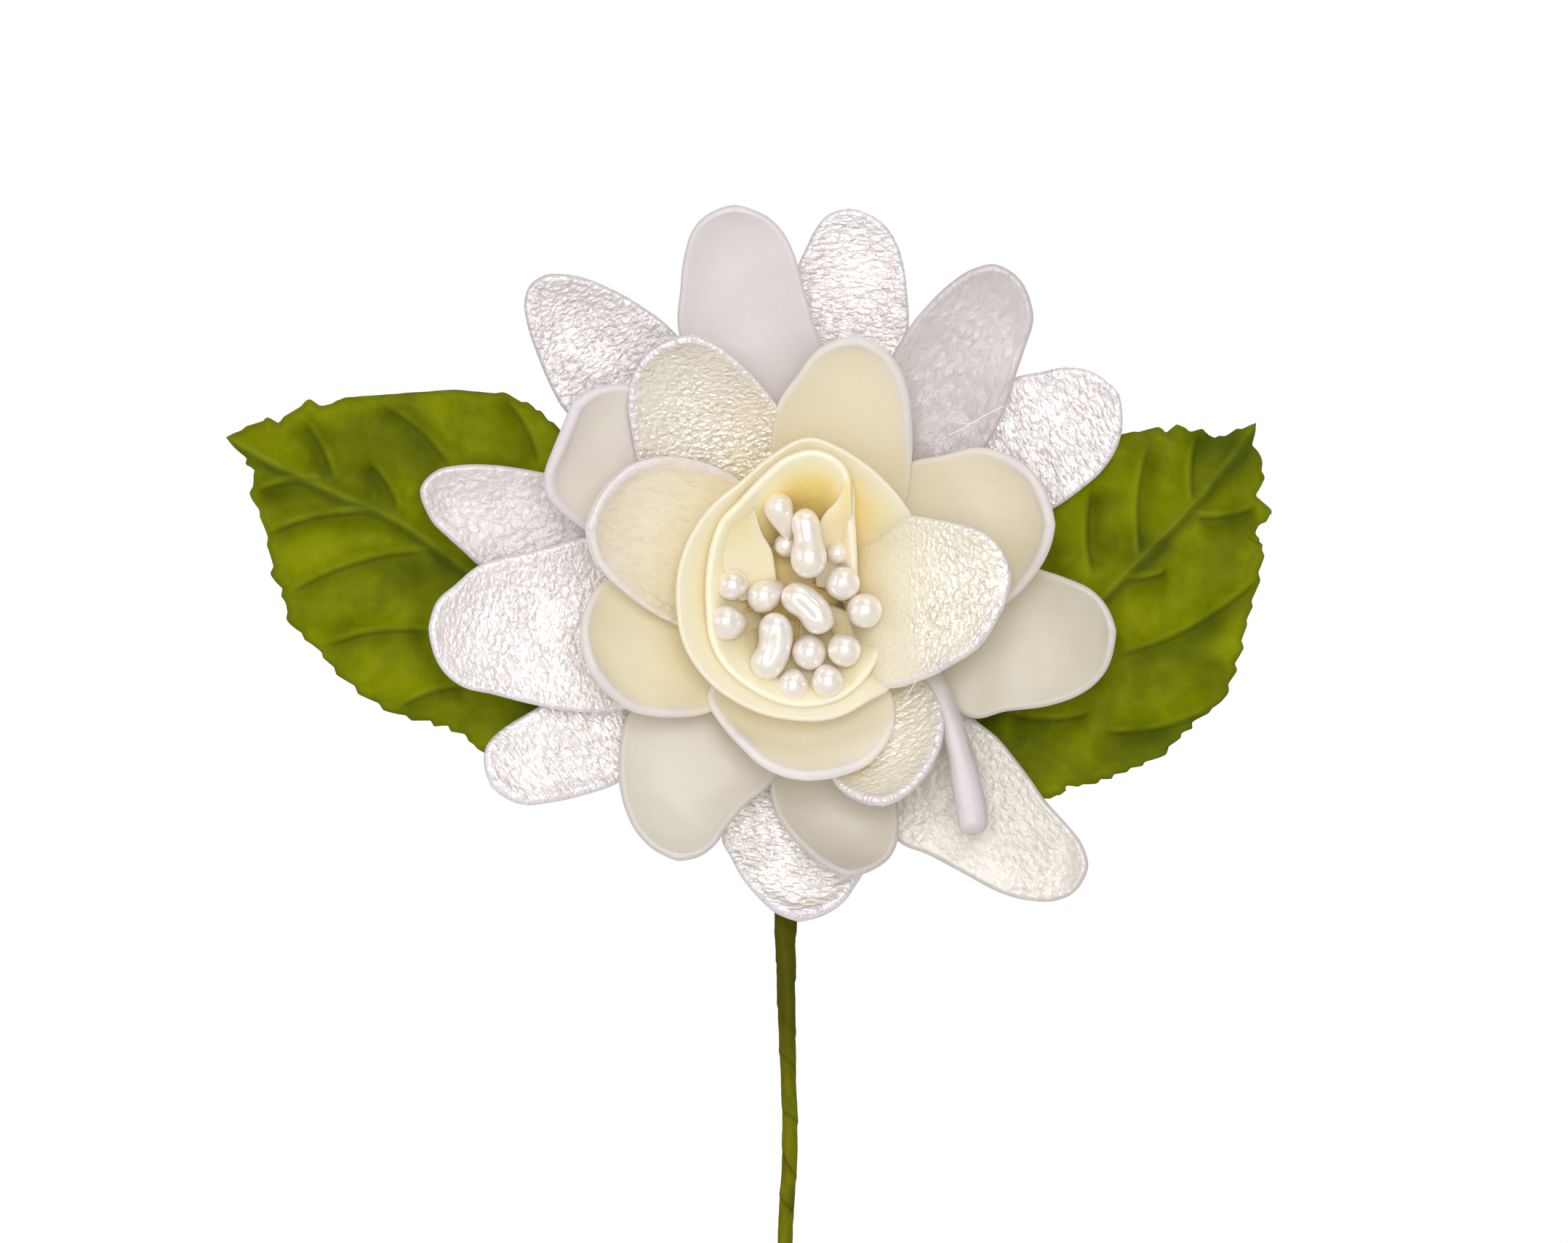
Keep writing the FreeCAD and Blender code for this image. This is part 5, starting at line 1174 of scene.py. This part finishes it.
def leaf(name, L, seed):
    up = jag(np.array(L["up"], float), seed, 0.30, 40, L.get("flat_part"))
    low = jag(spline(L["low"], 6)[0], seed + 1, 0.50, 60)
    midline = spline(L["mid"], 14)[0]
    nu, nv = ((280, 151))
    us = np.linspace(0, 1, nu) ** 0.92
    U = by_length(up, us)
    D = by_length(low, us)
    C = by_length(midline, us)
    v = np.linspace(-1, 1, nv)
    flat = np.empty((nu, nv, 2))
    for j, vv in enumerate(v):
        e = U if vv >= 0 else D
        flat[:, j] = C[:, [0, 2]] * (1 - abs(vv)) + e * abs(vv)
    y = C[:, 1][:, None] + np.zeros((nu, nv))
    X, Z = flat[..., 0], flat[..., 1]
    dm = distance_to(flat, midline[:, [0, 2]])
    # the halves rise a little from the midrib; the edges turn back
    y = y - 0.85 * smoothstep(0, 5, dm) + 1.3 * smoothstep(8, 17, dm)
    faint = 0.5 + 0.5 * np.sin(X * 1.3 + 1.0) * np.cos(Z * 0.9)
    lit_vein_line = (0.12 + 0.38 * faint) * np.exp(-(dm / 0.36) ** 2)
    # painted shade along the midrib fold, fed to the 'crease' attribute
    crease = 0.55 * np.exp(-((dm - 0.5) / 0.7) ** 2) * (Z < C[:, 2][:, None]) + 0.35 * np.exp(-(dm / 1.6) ** 2)
    y = y - 0.35 + 0.34 * np.exp(-(dm / 1.9) ** 2)
    for a, b in L["veins"]:
        # a slightly bowed side vein
        mx, mz = (a[0] + b[0]) / 2, (a[1] + b[1]) / 2
        nx, nz = -(b[1] - a[1]), b[0] - a[0]
        k = 0.07 if seed % 2 else -0.07
        m = (mx + nx * k, mz + nz * k)
        bow = [((1 - t) ** 2 * a[0] + 2 * t * (1 - t) * (2 * m[0] - mx) + t * t * b[0],
                (1 - t) ** 2 * a[1] + 2 * t * (1 - t) * (2 * m[1] - mz) + t * t * b[1]) for t in np.linspace(0, 1, 9)]
        dd = np.full(X.shape, 99.0)
        side = np.zeros(X.shape)
        for p, q in zip(bow[:-1], bow[1:]):
            dk, tk = dist_seg(X, Z, p, q)
            near = dk < dd
            dd = np.where(near, dk, dd)
            side = np.where(near, (X - p[0]) * -(q[1] - p[1]) + (Z - p[1]) * (q[0] - p[0]), side)
        # below the vein (or on its outer side) the cloth falls away, and painted shade darkens it there
        px, pz = -(b[1] - a[1]), b[0] - a[0]
        pl = math.hypot(px, pz)
        px, pz = px / pl, pz / pl
        turned = pz > 0 or (abs(pz) < 0.35 and px < 0)
        below = np.where((side > 0) != turned, 1.0, -1.0)
        # the pleat starts and ends softly
        length = math.hypot(b[0] - a[0], b[1] - a[1])
        along = ((X - a[0]) * (b[0] - a[0]) + (Z - a[1]) * (b[1] - a[1])) / length ** 2
        soft = smoothstep(-0.05, 0.18, along) * (1 - smoothstep(0.85, 1.05, along))
        sd = dd * below
        keep = smoothstep(0.2, 2.2, dm)
        y = y + (0.66 * np.exp(-((sd - 0.45) / 1.15) ** 2) - 0.30 * np.exp(-((sd + 2.0) / 1.5) ** 2)) * keep * soft
        # partly the vein's own paler line, partly painted highlight on its lit upper side
        lit_vein_line = np.maximum(lit_vein_line, (0.22 + 0.30 * faint) * np.exp(-((sd + 0.16) / 0.27) ** 2) * soft)
        crease = np.maximum(crease, 0.85 * np.exp(-((sd - 0.42) / 0.40) ** 2) * soft)
        crease = np.maximum(crease, 0.62 * np.exp(-(np.maximum(sd, 0) / 2.2) ** 2) * smoothstep(0.0, 0.5, sd) * soft)
    pts = np.stack([X, np.zeros_like(X), Z], axis=-1).reshape(-1, 3)
    pucker = field(pts, 4.6, seed + 3).reshape(nu, nv)
    small = field(pts, 1.7, seed + 9).reshape(nu, nv)
    y = y + (0.80 * pucker + 0.14 * small) * smoothstep(0.2, 3.0, dm)
    mid = np.stack([X, y, Z], axis=-1)
    mid[..., 1] = np.minimum(mid[..., 1], -2.1)
    mid = on_sight_line(mid)
    edge3 = np.vstack([mid[:, 0], mid[::-1, -1]])
    d3 = distance_to(mid, edge3)
    # painted shade: creases, pleats and pucker hollows darken the leaf through the 'crease' attribute
    tone = np.clip(crease * (1 - 0.5 * lit_vein_line) + 0.75 * np.clip(pucker, 0, 1), 0, 1)
    uv = np.stack([X / 10.0, Z / 10.0], axis=-1)
    ob = shell(name + "_satin", mid, (0, -1, 0), 0.34, d3, 0.30, MAT_LEAF, uv,
               {"crease": tone, "vein_and_highlight": lit_vein_line, "rim": 1 - smoothstep(0.2, 0.7, d3)})
    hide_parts(name)
    return ob


leaf("leaf_left", LEAF["leaf_left"], 21)
leaf("leaf_right", LEAF["leaf_right"], 32)


# ---------------------------------------------------------------- core, glue, felt
def mound(name, rings, mat, node_name, amp, size, seed, sides=96, centre=(0.0, 0.0)):
    """Closed lumpy round solid from (y, radius) rings, ends capped."""
    V, F = [], []
    for y, r in rings:
        for j in range(sides):
            a = 2 * math.pi * j / sides
            V.append((centre[0] + r * math.cos(a), y, centre[1] + r * math.sin(a)))
    m = len(rings)
    for i in range(m - 1):
        for j in range(sides):
            F.append((i * sides + j, i * sides + (j + 1) % sides, (i + 1) * sides + (j + 1) % sides, (i + 1) * sides + j))
    V.append((centre[0], rings[0][0], centre[1]))
    V.append((centre[0], rings[-1][0], centre[1]))
    for j in range(sides):
        F.append((j, (j + 1) % sides, len(V) - 2))
        F.append(((m - 1) * sides + (j + 1) % sides, (m - 1) * sides + j, len(V) - 1))
    V = np.array(V, float)
    if amp:
        f = field(V, size, seed)
        r = np.hypot(V[:, 0], V[:, 2])
        k = (amp * f)[:, None] * np.stack([V[:, 0], np.zeros(len(V)), V[:, 2]], axis=1) / np.maximum(r, 0.5)[:, None]
        V = V + k
    ob = add_object(name, V * MM, F, mat)
    bm = bmesh.new()
    bm.from_mesh(ob.data)
    bmesh.ops.recalc_face_normals(bm, faces=bm.faces)
    bm.to_mesh(ob.data)
    bm.free()
    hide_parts(node_name)
    return ob


MAT_CORE = simple_material("core_foam", srgb(241, 215, 138), 0.6, bump_scale=900.0, bump_strength=0.5, distance=0.00012, vary=0.12, sub=0.2)
core_rings = [(-5.0, 0.3), (-5.0, 3.9), (-6.0, 4.1), (-9.0, 4.0), (-11.4, 4.1), (-12.0, 3.7), (-12.3, 2.6), (-12.4, 1.2), (-12.4, 0.2)]
core_ob = mound("flower_core_wrapped", core_rings, MAT_CORE, "flower_core", 0.28, 2.0, 5)
glue_rings = [(-1.8, 0.3), (-1.8, 8.4), (-1.95, 8.9), (-2.3, 8.95), (-3.0, 8.3), (-3.9, 7.3), (-4.6, 6.5), (-5.0, 5.6), (-5.1, 3.0), (-5.1, 0.2)]
glue_ob = mound("glue_pad_melted", glue_rings, MAT_GLUE, "glue_pad", 0.55, 3.2, 8)
rim_r = 13.0
felt_rings = [(-0.6, 0.3), (-0.6, 4.0), (-0.6, 8.0), (-0.6, 12.0), (-0.64, 12.6), (-0.78, 12.9), (-1.0, rim_r), (-1.4, rim_r), (-1.64, 12.88), (-1.78, 12.5), (-1.8, 12.0), (-1.8, 8.0), (-1.8, 4.0), (-1.8, 0.3)]
felt_ob = mound("felt_disc", felt_rings, MAT_FELT, "felt_backing", 0.14, 1.6, 4, sides=180)

# ---------------------------------------------------------------- spring
turns, pitch, r_mean, r_wire = 4, 0.58, 1.6, 0.35
cx, cy = -8.0, 3.4
pts = []
low_dir = Vector((-10, -1.41, 0)).normalized()
high_dir = Vector((-10, 3.62, 0)).normalized()
z_low, z_high = -1.17, 1.17
for k in range(9):
    pts.append((-8 + low_dir.x * 10.2 * (1 - k / 9), 1.8 + low_dir.y * 10.2 * (1 - k / 9), z_low))
steps = 24 * turns + 12
for k in range(steps + 1):
    f = k / steps
    a = -math.pi / 2 + 2 * math.pi * (turns + 0.5) * f
    pts.append((cx + r_mean * math.cos(a), cy + r_mean * math.sin(a), z_low + (z_high - z_low) * f))
for k in range(1, 10):
    pts.append((-8 + high_dir.x * 10.6 * k / 9, 5.0 + high_dir.y * 10.6 * k / 9, z_high))
v, f, m = tube(pts, [r_wire * 0.74] * 2, 12, 2)
spring_ob = add_object("torsion_spring_coil", v * MM, f, MAT_SPRING, None, None, True, body=None)
bm = bmesh.new()
bm.from_mesh(spring_ob.data)
bmesh.ops.recalc_face_normals(bm, faces=bm.faces)
bm.to_mesh(spring_ob.data)
bm.free()
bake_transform(spring_ob)
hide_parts("torsion_spring")

# ---------------------------------------------------------------- carried-over nodes
KEEP = {"clip_fixed_jaw": MAT_STEEL, "clip_moving_jaw": MAT_STEEL, "hinge_pin": MAT_PIN,
        "stem_wire": MAT_WIRE, "leaf_wire_left": MAT_WIRE, "leaf_wire_right": MAT_WIRE}
for nm, mat in KEEP.items():
    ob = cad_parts[nm]
    if not ob.data.materials:
        ob.data.materials.append(mat)
    for s in ob.material_slots:
        s.material = mat

# ---------------------------------------------------------------- stray fibres
MAT_FIBRE = simple_material("lint_fibre", srgb(246, 242, 236), 0.4, bump_scale=2000.0)
FIBRES = [
    ([(13.9, -18.9, 13.6), (15.2, -19.2, 14.2), (17.4, -19.0, 15.5), (19.2, -18.8, 16.4)], 0.055),
    ([(14.6, -18.7, 14.9), (15.6, -18.9, 14.7), (17.0, -18.8, 14.9)], 0.035),
    ([(9.8, -19.4, -11.2), (10.3, -19.5, -10.5), (10.9, -19.4, -9.4)], 0.045),
    ([(-5.6, -19.8, 11.9), (-4.9, -20.2, 11.2), (-4.2, -20.0, 10.0), (-3.4, -19.2, 8.6)], 0.04),
    ([(-5.7, -19.8, 11.9), (-5.2, -20.0, 12.6), (-4.7, -19.8, 13.0)], 0.03),
]
fibre_ob = tubes("lint_fibres", [(pts_, [r_] * 2, 6, 8) for pts_, r_ in FIBRES], MAT_FIBRE)

# ---------------------------------------------------------------- update the scene
bpy.context.view_layer.update()
